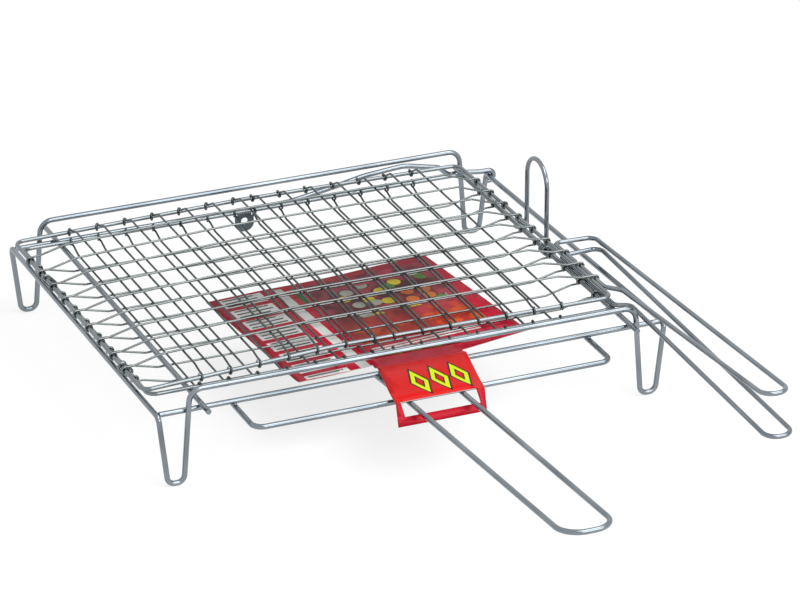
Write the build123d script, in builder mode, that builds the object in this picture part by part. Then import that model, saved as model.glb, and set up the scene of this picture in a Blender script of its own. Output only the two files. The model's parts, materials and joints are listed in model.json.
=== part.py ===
"""Reversible wire grill basket on a four-legged stand, all in round bright wire.

The origin is on the table, under the centre of the stand's footprint.
+X runs to the locking-bail side, +Y to the back, +Z up.  Millimetres.
"""
import os
from math import atan2, cos, degrees, hypot, radians, sin

from build123d import *

os.makedirs("parts", exist_ok=True)

# --- wire stock -------------------------------------------------------------
STAND_WIRE = 4.5
HANDLE_WIRE = 4.0
BORDER_WIRE = 3.5
GRID_WIRE = 1.8
RING_WIRE = 2.0

# --- clearances -------------------------------------------------------------
WELD_GAP = 0.05          # wires that are welded or knotted together
RUNNING_GAP = 0.3        # wires that turn or slide on each other

# --- stand ------------------------------------------------------------------
STAND_HALF_WIDTH = 217.0     # side rail axis
STAND_HALF_DEPTH = 174.0     # plane of each leg frame
SIDE_RAIL_HEIGHT = 61.3
TOP_RAIL_RISE = 18.7         # top rail over the side rails
TOP_RAIL_HALF = 190.8
FOOT_SPAN = 13.4             # between the two arms of a leg at the floor
OUTER_ARM_LEAN = 6.7         # how far an outer arm leans in on its way down
RAIL_BEND = 5.0              # outer arm into the side rail
LOW_RAIL_BEND = 3.0          # the same at the back right, where the rear rod hooks over the rail
HOOK_GAP = 0.3
HOOK_OVER = 200.0            # turn of that hook
HOOK_DROP = 2.3              # the rear rod falls by this much on its way to the hook
HOOK_APPROACH = 8.0          # and is level again this far inside the rail
HOOK_BEND = 40.0
FOOT_BEND = 6.4
TOP_BEND = 11.0

HUMP_LENGTH = 149.0          # the rear rod's hump, level again just before the right cross rod
HUMP_RISE = 15.5
HUMP_SHAPE = [(0, 0), (0.3, 0.48), (0.47, 0.8), (0.72, 1), (0.94, 0.54), (1, 0)]   # shares of both
HUMP_BENDS = [120.0, 60.0, 60.0, 40.0, 9.0, 7.0]
HUMP_MARGIN = 7.0            # level run on both sides of the cross rod's axis

BRACKET_HALF = 152.0
BRACKET_REACH = 42.5         # from the front rod to the bracket's bar
BRACKET_BEND = 9.0

HANDLE_CENTRE = -7.0
HANDLE_WIDTH = 45.0          # between the long handle's wires at the stand
HANDLE_END_WIDTH = 42.0
HANDLE_REACH = 339.0         # from the front rod to the end of the long handle
HANDLE_RISE = 20.0           # of the end over the bracket's bar
HANDLE_BEND = 18.0
HANDLE_TILT_BEND = 40.0
HANDLE_TUCK = 11.0           # its ends reach this far behind the front rod

# --- lower grid -------------------------------------------------------------
LEFT_ROD_INSET = 36.0        # cross rods that carry the basket, inside the side rails
RIGHT_ROD_INSET = 31.0
ROD_TAIL_FRONT = 15.0        # their ends, outside the leg frames
LEFT_ROD_TAIL_BACK = 20.0
RIGHT_ROD_BACK_INSET = 1.0   # the right one ends just inside the rear leg frame
LOWER_LEFT_INSET = 1.0       # border sides, inside the side rails and the leg frames
LOWER_BACK_INSET = 27.0
LOWER_FRONT_INSET = 23.0
BORDER_TO_ROD = 5.0          # border's right side to the right cross rod
BORDER_BEND = 8.0
BELLY_DEPTH = 8.3            # lower long wires below the border
BELLY_INSET = 30.0           # where the belly starts at the left and right
BELLY_INSET_END = 15.0       # and at the front and back

WIRE_PITCH = 24.3            # cross wires, seven each side of the middle
MIDDLE_PITCH = 15.8
CROSS_PER_SIDE = 7
GRID_CENTRE = -19.0
LONG_PITCH = 28.2
LONG_COUNT = 9
LONG_BACK_Y = 112.0          # rearmost long wire of the upper grid; rings and bases stand between them
GRID_STAGGER = 5.0           # the lower grid's long wires stand this much nearer the front
HOOK_TURN = 280.0
WIRE_BEND = 6.0

TAB_WIDTH = 17.0
TAB_NECK = 12.6
TAB_DROP = 16.2
TAB_ROUND = 7.0              # height of its rounded end
TAB_SHEET = 1.0
TAB_HOLE = 6.0
TAB_HOLE_DROP = 6.6
TAB_RIM = 1.6

# --- upper grid -------------------------------------------------------------
UPPER_LEFT_OVERHANG = 5.5    # upper border outside the lower one, side by side
UPPER_RIGHT_INSET = 1.0
UPPER_BACK_OVERHANG = 4.0
UPPER_FRONT_OVERHANG = 2.0
HINGE_RISE = 5.85            # upper border's left side, the hinge axis, over the lower border
BACK_ARCH_X, FRONT_ARCH_X = -20.0, -60.0
BACK_ARCH_RISE = 3.8         # tops and right ends of the arched sides, over the hinge axis
FRONT_ARCH_RISE = 8.0
BACK_RIGHT_RISE = 1.2
FRONT_RIGHT_RISE = 6.0
ARCH_BEND = 150.0
CROWN_LEFT_RISE = 6.6        # the cross wires' crown, over the hinge axis
CROWN_TOP_RISE = 12.0
CROWN_RIGHT_RISE = 11.0
CROWN_BEND = 60.0

# --- handles, bail, hinge ---------------------------------------------------
UPPER_BASE_BACK, UPPER_BASE_FRONT = -34.5, -132.0
LOWER_BASE_BACK, LOWER_BASE_FRONT = -41.0, -145.0
UPPER_NEAR, UPPER_FAR = 15.5, 39.5           # the grip's two rods, from the upper border
UPPER_END_NEAR, UPPER_END_FAR = 13.0, 35.0   # and at its end
LOWER_NEAR, LOWER_FAR = 11.5, 37.0           # the same, from the right cross rod
LOWER_END_FAR = 34.0
GRIP_REACH = 219.0           # ends of the grips, in front of the leg frame
UPPER_NECK_RISE = 4.0        # over the hinge axis, where the grip starts
UPPER_GRIP_RISE = 23.5       # over the hinge axis, at the grip's end
LOWER_NECK_RISE = 1.0
LOWER_GRIP_DROP = 8.15       # under the lower border, at the grip's end
NECK_RUN = 8.0               # forward run of each neck between base and grip
NECK_BEND = 8.0
BASE_BEND = 6.0
BASE_SEAM = 5.0              # between the two tails of a base
GRIP_BEND = 10.6
BAIL_BACK, BAIL_FRONT = 33.0, -6.0
BAIL_HEIGHT = 68.5
BAIL_PIN = 10.0
BAIL_CORNER = 3.5
BAIL_FLAT = 0.2              # straight run left at the top of its arch
RING_BACK_Y, RING_FRONT_Y = 73.0, -106.0
TIE_Y = -20.0
TIE_PITCH = 3.0
TIE_TURNS = 3
CURL_END_TURN = 150.0        # upper long wires, round the handle's base

# --- card -------------------------------------------------------------------
CARD_THICKNESS = 0.5
CARD_DROP = 3.0              # panel under the side rails' height
CARD_RAMP = 12.0
CARD_CLEARANCE = 0.4         # tongue over the front rod
CARD_BACK = 30.0
CARD_LEFT, CARD_RIGHT = -105.0, 114.0
CARD_PANEL = [(-26, -147), (-92, -158), (-105, 14), (95.5, 29), (113.5, -137), (50, -150)]
TONGUE_LEFT = -47.0          # corners of the folded-down end
TONGUE_RIGHT = 28.0
FOLD_REACH = 63.5            # from the front rod to the fold
FOLD_DROP = 13.0
FOLD_FORWARD = 14.0          # the folded end leans out by this much
WINDOW_WIDTH = 64.0          # opening in the folded end that the long handle runs through
WINDOW_DROP = 7.8

# --- sizes worked out from those above --------------------------------------
top_rail_z = SIDE_RAIL_HEIGHT + TOP_RAIL_RISE
lower_rod_y = STAND_HALF_DEPTH - STAND_WIRE - WELD_GAP
left_rod_x = LEFT_ROD_INSET - STAND_HALF_WIDTH
right_rod_x = STAND_HALF_WIDTH - RIGHT_ROD_INSET
cross_rod_front = -STAND_HALF_DEPTH - ROD_TAIL_FRONT
cross_rod_z = SIDE_RAIL_HEIGHT + STAND_WIRE + RUNNING_GAP
lower_z = cross_rod_z + (STAND_WIRE + BORDER_WIRE) / 2 + WELD_GAP
lower_left = LOWER_LEFT_INSET - STAND_HALF_WIDTH
lower_right = right_rod_x - BORDER_TO_ROD
lower_back = STAND_HALF_DEPTH - LOWER_BACK_INSET
lower_front = LOWER_FRONT_INSET - STAND_HALF_DEPTH
upper_left = lower_left - UPPER_LEFT_OVERHANG
upper_right = lower_right - UPPER_RIGHT_INSET
upper_back = lower_back + UPPER_BACK_OVERHANG
upper_front = lower_front - UPPER_FRONT_OVERHANG
hinge_z = lower_z + HINGE_RISE
grip_end = -STAND_HALF_DEPTH - GRIP_REACH
bracket_z = SIDE_RAIL_HEIGHT - STAND_WIRE - WELD_GAP
hook_radius = (BORDER_WIRE + GRID_WIRE) / 2 + WELD_GAP
base_offset = (BORDER_WIRE + HANDLE_WIRE) / 2 + 2 * WELD_GAP
curl_radius = (HANDLE_WIRE + GRID_WIRE) / 2 + WELD_GAP
belly_z = lower_z - BELLY_DEPTH
layer = GRID_WIRE + 2 * WELD_GAP
cross_xs = [
    GRID_CENTRE + side * (MIDDLE_PITCH / 2 + WIRE_PITCH * step)
    for side in (-1, 1)
    for step in range(CROSS_PER_SIDE)
]
hook_z = SIDE_RAIL_HEIGHT - HOOK_DROP
low_rail_z = hook_z - STAND_WIRE - HOOK_GAP
long_ys = [LONG_BACK_Y - LONG_PITCH * step for step in range(LONG_COUNT)]


def between(value, knots):
    """Height on a chain of straight runs, given as (place, height) knots."""
    for (a, height_a), (b, height_b) in zip(knots, knots[1:]):
        if value <= b:
            break
    return height_a + (height_b - height_a) * (value - a) / (b - a)


def arched_knots(start, end, arch_x, arch_rise, right_rise):
    """Knots of an arched side: its start, its top and its right end."""
    return [(start, hinge_z), (arch_x, hinge_z + arch_rise), (end, hinge_z + right_rise)]


front_side = arched_knots(upper_left, upper_right, FRONT_ARCH_X, FRONT_ARCH_RISE, FRONT_RIGHT_RISE)
back_side = arched_knots(upper_left, upper_right, BACK_ARCH_X, BACK_ARCH_RISE, BACK_RIGHT_RISE)
right_side = [(upper_front, hinge_z + FRONT_RIGHT_RISE), (upper_back, hinge_z + BACK_RIGHT_RISE)]
crown = [
    (upper_left + BELLY_INSET, hinge_z + CROWN_LEFT_RISE),
    (FRONT_ARCH_X, hinge_z + CROWN_TOP_RISE),
    (upper_right, hinge_z + CROWN_RIGHT_RISE),
]


def round_sweep(path, wire):
    """Sweep a round section of the given diameter along the path."""
    with BuildSketch(Plane(origin=path @ 0, z_dir=path % 0)) as section:
        Circle(wire / 2)
    sweep(section.sketch, path=path)


def bent_rod(points, bends, wire):
    """Rod through the points, each inner corner rounded by its own bend."""
    with BuildLine() as route:
        FilletPolyline(*points, radius=bends)
    round_sweep(route.wires()[0], wire)


def straight_rod(start, end, wire):
    """Straight rod between two points."""
    with BuildLine() as route:
        Line(start, end)
    round_sweep(route.wires()[0], wire)


def hooked_wire(plane, corners, start_hook, end_hook, bends):
    """Thin wire in a plane, with a hook of (radius, turn) curled at each end."""
    with BuildLine(plane) as route:
        FilletPolyline(*corners, radius=bends)
        JernArc(corners[0], (-1, 0), start_hook[0], start_hook[1])
        JernArc(corners[-1], (1, 0), end_hook[0], -end_hook[1])
    round_sweep(route.wires()[0], GRID_WIRE)


def two_rod_ring(plane_y, first, second, radius):
    """Closed ring of thin wire round two rods that run along Y."""
    reach = hypot(second[0] - first[0], second[1] - first[1])
    tilt = degrees(atan2(second[1] - first[1], second[0] - first[0]))
    middle = ((first[0] + second[0]) / 2, plane_y, (first[1] + second[1]) / 2)
    along = (cos(radians(tilt)), 0, sin(radians(tilt)))
    with BuildSketch(Plane(middle, x_dir=along, z_dir=(0, -1, 0)), mode=Mode.PRIVATE) as loop:
        SlotCenterToCenter(reach, 2 * radius)
    round_sweep(loop.sketch.face().outer_wire(), RING_WIRE)


def finish(piece, name):
    """Label a finished piece and write it to its own file."""
    piece.part.label = name
    export_step(piece.part, f"parts/{name}.step")


# --- stand: two leg frames, each one bent rod -------------------------------
rail_end_y = STAND_HALF_DEPTH - RAIL_BEND - STAND_WIRE
foot_outer_x = STAND_HALF_WIDTH - OUTER_ARM_LEAN
foot_inner_x = foot_outer_x - FOOT_SPAN


def half_frame(rail_z):
    """Right half of a leg frame, from the side rail at the given height to the top rail."""
    return [
        (STAND_HALF_WIDTH, rail_end_y, rail_z),
        (STAND_HALF_WIDTH, STAND_HALF_DEPTH, rail_z),
        (foot_outer_x, STAND_HALF_DEPTH, STAND_WIRE / 2),
        (foot_inner_x, STAND_HALF_DEPTH, STAND_WIRE / 2),
        (TOP_RAIL_HALF, STAND_HALF_DEPTH, top_rail_z),
    ]


for name, side, right_rail_z, right_bend in (
    ("front_leg_frame", -1, SIDE_RAIL_HEIGHT, RAIL_BEND),
    ("rear_leg_frame", 1, low_rail_z, LOW_RAIL_BEND),
):
    right_half = [(x, side * y, z) for x, y, z in half_frame(right_rail_z)]
    left_half = [(-x, side * y, z) for x, y, z in reversed(half_frame(SIDE_RAIL_HEIGHT))]
    bends = [right_bend, FOOT_BEND, FOOT_BEND, TOP_BEND, TOP_BEND, FOOT_BEND, FOOT_BEND, RAIL_BEND]
    with BuildPart() as leg_frame:
        bent_rod(right_half + left_half, bends, STAND_WIRE)
    finish(leg_frame, name)

# side rails, butt-welded to the bent ends of the leg frames; the right one is lower at the back
for name, rail_x, back_z in (
    ("left_side_rail", -STAND_HALF_WIDTH, SIDE_RAIL_HEIGHT),
    ("right_side_rail", STAND_HALF_WIDTH, low_rail_z),
):
    with BuildPart() as side_rail:
        straight_rod(
            (rail_x, WELD_GAP - rail_end_y, SIDE_RAIL_HEIGHT),
            (rail_x, rail_end_y - WELD_GAP, back_z),
            STAND_WIRE,
        )
    finish(side_rail, name)

# lower rods, welded to the inside of the leg frames
rod_end_x = STAND_HALF_WIDTH - STAND_WIRE / 2 - WELD_GAP
with BuildPart() as front_lower_rod:
    straight_rod(
        (-rod_end_x, -lower_rod_y, SIDE_RAIL_HEIGHT),
        (rod_end_x, -lower_rod_y, SIDE_RAIL_HEIGHT),
        STAND_WIRE,
    )
finish(front_lower_rod, "front_lower_rod")

# the rear rod is humped at the right and hooked over the side rail
hump_end = right_rod_x - HUMP_MARGIN
hump = [
    (hump_end - HUMP_LENGTH * (1 - share), SIDE_RAIL_HEIGHT + HUMP_RISE * rise)
    for share, rise in HUMP_SHAPE
]
to_hook = [
    (right_rod_x + HUMP_MARGIN, SIDE_RAIL_HEIGHT),
    (STAND_HALF_WIDTH - HOOK_APPROACH, hook_z),
    (STAND_HALF_WIDTH, hook_z),
]
with BuildPart() as rear_lower_rod:
    with BuildLine(Plane.XZ.offset(-lower_rod_y)) as route:
        FilletPolyline(
            (-rod_end_x, SIDE_RAIL_HEIGHT), *hump, *to_hook, radius=HUMP_BENDS + [HOOK_BEND, HOOK_BEND]
        )
        JernArc(to_hook[-1], (1, 0), STAND_WIRE + HOOK_GAP, -HOOK_OVER)
    round_sweep(route.wires()[0], STAND_WIRE)
finish(rear_lower_rod, "rear_lower_rod")

# bracket under the front rod, and the long handle over it
bar_y = -lower_rod_y - BRACKET_REACH
bracket_back = -lower_rod_y + STAND_WIRE
with BuildPart() as handle_bracket:
    bent_rod(
        [
            (-BRACKET_HALF, bracket_back, bracket_z),
            (-BRACKET_HALF, bar_y, bracket_z),
            (BRACKET_HALF, bar_y, bracket_z),
            (BRACKET_HALF, bracket_back, bracket_z),
        ],
        [BRACKET_BEND] * 2,
        STAND_WIRE,
    )
finish(handle_bracket, "handle_bracket")

handle_slope = (STAND_WIRE + WELD_GAP) / BRACKET_REACH
handle_start_y = -lower_rod_y + HANDLE_TUCK
handle_bar_z = bracket_z + STAND_WIRE + 2 * WELD_GAP
handle_start_z = handle_bar_z - handle_slope * (handle_start_y - bar_y)
handle_end_y = -lower_rod_y - HANDLE_REACH
handle_end_z = handle_bar_z + HANDLE_RISE
wire_right = [
    (HANDLE_CENTRE + HANDLE_WIDTH / 2, handle_start_y, handle_start_z),
    (HANDLE_CENTRE + HANDLE_WIDTH / 2, bar_y, handle_bar_z),
    (HANDLE_CENTRE + HANDLE_END_WIDTH / 2, handle_end_y, handle_end_z),
]
handle_bends = [HANDLE_TILT_BEND, HANDLE_BEND, HANDLE_BEND, HANDLE_TILT_BEND]
wire_left = [(2 * HANDLE_CENTRE - x, y, z) for x, y, z in reversed(wire_right)]
with BuildPart() as long_handle:
    bent_rod(wire_right + wire_left, handle_bends, STAND_WIRE)
finish(long_handle, "long_handle")

# card: flat panel under the basket, tongue over the front rod and along the long handle,
# its end folded down with an opening that the handle runs through
card_z = SIDE_RAIL_HEIGHT - CARD_DROP
tongue_z = SIDE_RAIL_HEIGHT + (STAND_WIRE + CARD_THICKNESS) / 2 + CARD_CLEARANCE
tongue_back = -lower_rod_y + STAND_WIRE
fold_y = -lower_rod_y - FOLD_REACH
fold_z = tongue_z + (bar_y - fold_y) * HANDLE_RISE / (bar_y - handle_end_y)
tongue_front = fold_y - FOLD_FORWARD
outline = CARD_PANEL + [(TONGUE_RIGHT, tongue_front), (TONGUE_LEFT, tongue_front)]
with BuildPart() as card:
    with BuildSketch(Plane.YZ.offset(CARD_LEFT)):
        with BuildLine():
            Polyline(
                (CARD_BACK, card_z),
                (tongue_back + CARD_RAMP, card_z),
                (tongue_back, tongue_z),
                (bar_y, tongue_z),
                (fold_y, fold_z),
                (fold_y - FOLD_FORWARD, fold_z - FOLD_DROP),
            )
        trace(line_width=CARD_THICKNESS)
    extrude(amount=CARD_RIGHT - CARD_LEFT)
    with BuildSketch():
        with BuildLine():
            Polyline(*outline, close=True)
        make_face()
    extrude(amount=top_rail_z, mode=Mode.INTERSECT)
    with BuildSketch(Plane.XZ.offset(-fold_y - CARD_THICKNESS)):
        with Locations((HANDLE_CENTRE, fold_z)):
            Rectangle(WINDOW_WIDTH, 2 * WINDOW_DROP)
    extrude(amount=FOLD_FORWARD, mode=Mode.SUBTRACT)
finish(card, "card")

# --- lower grid: border ------------------------------------------------------
with BuildPart() as lower_border:
    with BuildSketch(Plane.XY.offset(lower_z), mode=Mode.PRIVATE) as outline:
        with Locations(((lower_left + lower_right) / 2, (lower_back + lower_front) / 2)):
            RectangleRounded(lower_right - lower_left, lower_back - lower_front, BORDER_BEND)
    round_sweep(outline.sketch.face().outer_wire(), BORDER_WIRE)
finish(lower_border, "lower_border")

# long wires: hooked up round the left and right sides, sagging under the cross wires
under_hook = lower_z - hook_radius
with BuildPart() as lower_long_wires:
    for y in long_ys:
        hooked_wire(
            Plane.XZ.offset(GRID_STAGGER - y),
            [
                (lower_left, under_hook),
                (lower_left + BELLY_INSET / 4, under_hook),
                (lower_left + BELLY_INSET, belly_z),
                (lower_right - BELLY_INSET, belly_z),
                (lower_right - BELLY_INSET / 4, under_hook),
                (lower_right, under_hook),
            ],
            (hook_radius, -HOOK_TURN),
            (hook_radius, -HOOK_TURN),
            WIRE_BEND,
        )
finish(lower_long_wires, "lower_long_wires")

# cross wires: on the food side of the long wires
with BuildPart() as lower_cross_wires:
    for x in cross_xs:
        hooked_wire(
            Plane.YZ.offset(x),
            [
                (lower_front, under_hook),
                (lower_front + BELLY_INSET_END / 4, under_hook),
                (lower_front + BELLY_INSET_END, belly_z + layer),
                (lower_back - BELLY_INSET_END, belly_z + layer),
                (lower_back - BELLY_INSET_END / 4, under_hook),
                (lower_back, under_hook),
            ],
            (hook_radius, -HOOK_TURN),
            (hook_radius, -HOOK_TURN),
            WIRE_BEND / 2,
        )
finish(lower_cross_wires, "lower_cross_wires")

# cross rods: under the border, over the long wires, resting on the stand's lower rods
for name, rod_x, back_tail in (
    ("left_cross_rod", left_rod_x, LEFT_ROD_TAIL_BACK),
    ("right_cross_rod", right_rod_x, -RIGHT_ROD_BACK_INSET),
):
    with BuildPart() as cross_rod:
        straight_rod(
            (rod_x, cross_rod_front, cross_rod_z),
            (rod_x, STAND_HALF_DEPTH + back_tail, cross_rod_z),
            STAND_WIRE,
        )
    finish(cross_rod, name)

# hanger tab: narrow neck between the two middle knots, rimmed hole below
tab_top = lower_z - BORDER_WIRE / 2 - WELD_GAP
neck_bottom = under_hook - GRID_WIRE / 2 - RUNNING_GAP
tab_round_z = tab_top - TAB_DROP + TAB_ROUND
hole_z = tab_top - TAB_HOLE_DROP
with BuildPart() as hanger_tab:
    with BuildSketch(Plane.XZ.offset(-lower_back - TAB_SHEET / 2)):
        with Locations((GRID_CENTRE, (neck_bottom + tab_round_z) / 2)):
            Rectangle(TAB_WIDTH, neck_bottom - tab_round_z)
        with Locations((GRID_CENTRE, (tab_top + neck_bottom) / 2)):
            Rectangle(TAB_NECK, tab_top - neck_bottom)
        with Locations((GRID_CENTRE, tab_round_z)):
            Ellipse(TAB_WIDTH / 2, TAB_ROUND)
        with Locations((GRID_CENTRE, hole_z)):
            Circle(TAB_HOLE / 2, mode=Mode.SUBTRACT)
    extrude(amount=TAB_SHEET)
    with BuildSketch(Plane.XZ.offset(-lower_back + TAB_SHEET / 2)):
        with Locations((GRID_CENTRE, hole_z)):
            Circle(TAB_HOLE / 2 + TAB_RIM)
            Circle(TAB_HOLE / 2, mode=Mode.SUBTRACT)
    extrude(amount=TAB_SHEET)
finish(hanger_tab, "hanger_tab")

# lower handle: one rod, its two tails welded along the border's right side
lower_base_x = lower_right + (BORDER_WIRE + HANDLE_WIRE) / 2 + GRID_WIRE + 2 * WELD_GAP
lower_base_z = cross_rod_z + (STAND_WIRE + HANDLE_WIRE) / 2 + 2 * WELD_GAP
base_middle = (LOWER_BASE_BACK + LOWER_BASE_FRONT) / 2
lower_neck_z = lower_base_z + LOWER_NECK_RISE
lower_grip_z = lower_z - LOWER_GRIP_DROP
handle_loop_bends = [BASE_BEND, NECK_BEND, GRIP_BEND, GRIP_BEND, NECK_BEND, BASE_BEND]
with BuildPart() as lower_handle:
    bent_rod(
        [
            (lower_base_x, base_middle + BASE_SEAM / 2, lower_base_z),
            (lower_base_x, LOWER_BASE_FRONT, lower_base_z),
            (right_rod_x + LOWER_NEAR, LOWER_BASE_FRONT - NECK_RUN, lower_neck_z),
            (right_rod_x + LOWER_NEAR, grip_end, lower_grip_z),
            (right_rod_x + LOWER_END_FAR, grip_end, lower_grip_z),
            (right_rod_x + LOWER_FAR, LOWER_BASE_BACK, lower_neck_z),
            (lower_base_x, LOWER_BASE_BACK, lower_base_z),
            (lower_base_x, base_middle + BASE_SEAM * 3 / 2, lower_base_z),
        ],
        handle_loop_bends,
        HANDLE_WIRE,
    )
finish(lower_handle, "lower_handle")

# wire hinge rings at the left, round the borders of both grids
for name, ring_y in (("rear_hinge_ring", RING_BACK_Y), ("front_hinge_ring", RING_FRONT_Y)):
    with BuildPart() as hinge_ring:
        two_rod_ring(
            ring_y,
            (lower_left, lower_z),
            (upper_left, hinge_z),
            (BORDER_WIRE + RING_WIRE) / 2 + RUNNING_GAP,
        )
    finish(hinge_ring, name)

# side tie: three turns round the border and the right cross rod
with BuildPart() as side_tie:
    for turn in range(TIE_TURNS):
        two_rod_ring(
            TIE_Y - TIE_PITCH * turn,
            (lower_right, lower_z),
            (right_rod_x, cross_rod_z),
            (STAND_WIRE + RING_WIRE) / 2 + 2 * WELD_GAP,
        )
finish(side_tie, "side_tie")

# locking bail: inverted U whose feet turn out into pins beside the right cross rod
bail_x = right_rod_x + (STAND_WIRE + HANDLE_WIRE) / 2 + RUNNING_GAP
arch_radius = (BAIL_BACK - BAIL_FRONT - BAIL_FLAT) / 2
with BuildPart() as locking_bail:
    bent_rod(
        [
            (bail_x, BAIL_BACK + BAIL_PIN, cross_rod_z),
            (bail_x, BAIL_BACK, cross_rod_z),
            (bail_x, BAIL_BACK, cross_rod_z + BAIL_HEIGHT),
            (bail_x, BAIL_FRONT, cross_rod_z + BAIL_HEIGHT),
            (bail_x, BAIL_FRONT, cross_rod_z),
            (bail_x, BAIL_FRONT - BAIL_PIN, cross_rod_z),
        ],
        [BAIL_CORNER, arch_radius, arch_radius, BAIL_CORNER],
        HANDLE_WIRE,
    )
finish(locking_bail, "locking_bail")

# bail rings: hold the bail's pins against the right cross rod
for name, ring_y in (
    ("rear_bail_ring", BAIL_BACK + BAIL_PIN - RING_WIRE * 1.5),
    ("front_bail_ring", BAIL_FRONT - BAIL_PIN + RING_WIRE * 1.5),
):
    with BuildPart() as bail_ring:
        two_rod_ring(
            ring_y,
            (right_rod_x, cross_rod_z),
            (bail_x, cross_rod_z),
            (STAND_WIRE + RING_WIRE) / 2 + 2 * WELD_GAP,
        )
    finish(bail_ring, name)

# --- upper grid: arched border, butt-welded in the middle of its left side ----
with BuildPart() as upper_border:
    with BuildLine() as route:
        FilletPolyline(
            (upper_left, WELD_GAP / 2, hinge_z),
            (upper_left, upper_back, hinge_z),
            (BACK_ARCH_X, upper_back, hinge_z + BACK_ARCH_RISE),
            (upper_right, upper_back, hinge_z + BACK_RIGHT_RISE),
            (upper_right, upper_front, hinge_z + FRONT_RIGHT_RISE),
            (FRONT_ARCH_X, upper_front, hinge_z + FRONT_ARCH_RISE),
            (upper_left, upper_front, hinge_z),
            (upper_left, -WELD_GAP / 2, hinge_z),
            radius=[BORDER_BEND, ARCH_BEND, BORDER_BEND, BORDER_BEND, ARCH_BEND, BORDER_BEND],
        )
    round_sweep(route.wires()[0], BORDER_WIRE)
finish(upper_border, "upper_border")

# cross wires: hooked down over the front and back sides, crowned between them
with BuildPart() as upper_cross_wires:
    for x in cross_xs:
        front_top = between(x, front_side) + hook_radius
        back_top = between(x, back_side) + hook_radius
        hooked_wire(
            Plane.YZ.offset(x),
            [
                (upper_front, front_top),
                (upper_front + BELLY_INSET_END / 4, front_top),
                (upper_front + BELLY_INSET_END, between(x, crown)),
                (upper_back - BELLY_INSET_END, between(x, crown)),
                (upper_back - BELLY_INSET_END / 4, back_top),
                (upper_back, back_top),
            ],
            (hook_radius, HOOK_TURN),
            (hook_radius, HOOK_TURN),
            WIRE_BEND / 2,
        )
finish(upper_cross_wires, "upper_cross_wires")

# long wires: over the cross wires, hooked over the border, or over the handle's base beside it
upper_base_x = upper_right + base_offset
base_drop = (HANDLE_WIRE - BORDER_WIRE) / 2
with BuildPart() as upper_long_wires:
    for y in long_ys:
        on_base = UPPER_BASE_FRONT < y < UPPER_BASE_BACK
        left_top = hinge_z + hook_radius
        right_top = between(y, right_side) + hook_radius
        hooked_wire(
            Plane.XZ.offset(-y),
            [
                (upper_left, left_top),
                (upper_left + BELLY_INSET / 4, left_top),
                (upper_left + BELLY_INSET, crown[0][1] + layer),
                (FRONT_ARCH_X, crown[1][1] + layer),
                (upper_right - BELLY_INSET, between(upper_right - BELLY_INSET, crown) + layer),
                (upper_right - BELLY_INSET / 4, right_top),
                (upper_base_x if on_base else upper_right, right_top),
            ],
            (hook_radius, HOOK_TURN),
            (curl_radius, CURL_END_TURN) if on_base else (hook_radius, HOOK_TURN),
            [WIRE_BEND, WIRE_BEND * 4, CROWN_BEND, WIRE_BEND, WIRE_BEND / 2],
        )
finish(upper_long_wires, "upper_long_wires")

# upper handle: one rod, its two tails welded along the border's right side
seam_front = (UPPER_BASE_BACK + UPPER_BASE_FRONT + BASE_SEAM) / 2
seam_back = seam_front + BASE_SEAM
upper_neck_z = hinge_z + UPPER_NECK_RISE
upper_grip_z = hinge_z + UPPER_GRIP_RISE
with BuildPart() as upper_handle:
    bent_rod(
        [
            (upper_base_x, seam_front, between(seam_front, right_side) - base_drop),
            (upper_base_x, UPPER_BASE_FRONT, between(UPPER_BASE_FRONT, right_side) - base_drop),
            (upper_right + UPPER_NEAR, UPPER_BASE_FRONT - NECK_RUN, upper_neck_z),
            (upper_right + UPPER_END_NEAR, grip_end, upper_grip_z),
            (upper_right + UPPER_END_FAR, grip_end, upper_grip_z),
            (upper_right + UPPER_FAR, UPPER_BASE_BACK - RING_WIRE, upper_neck_z),
            (upper_base_x, UPPER_BASE_BACK, between(UPPER_BASE_BACK, right_side) - base_drop),
            (upper_base_x, seam_back, between(seam_back, right_side) - base_drop),
        ],
        handle_loop_bends,
        HANDLE_WIRE,
    )
finish(upper_handle, "upper_handle")
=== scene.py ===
# %% [markdown]
# # A wire grill basket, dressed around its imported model
# The basket is almost nothing but round bright wire: a four-legged stand, two domed grids
# that shut on each other, three long loop handles and a standing bail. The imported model
# holds every size, so this lesson only rebuilds each wire as a smooth tube on the same
# centre line, twists the thin wires round the borders, and gives metal and card a finish.

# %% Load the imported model
import json
from math import ceil, cos, hypot, pi, radians, sin, tan, tau

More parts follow.
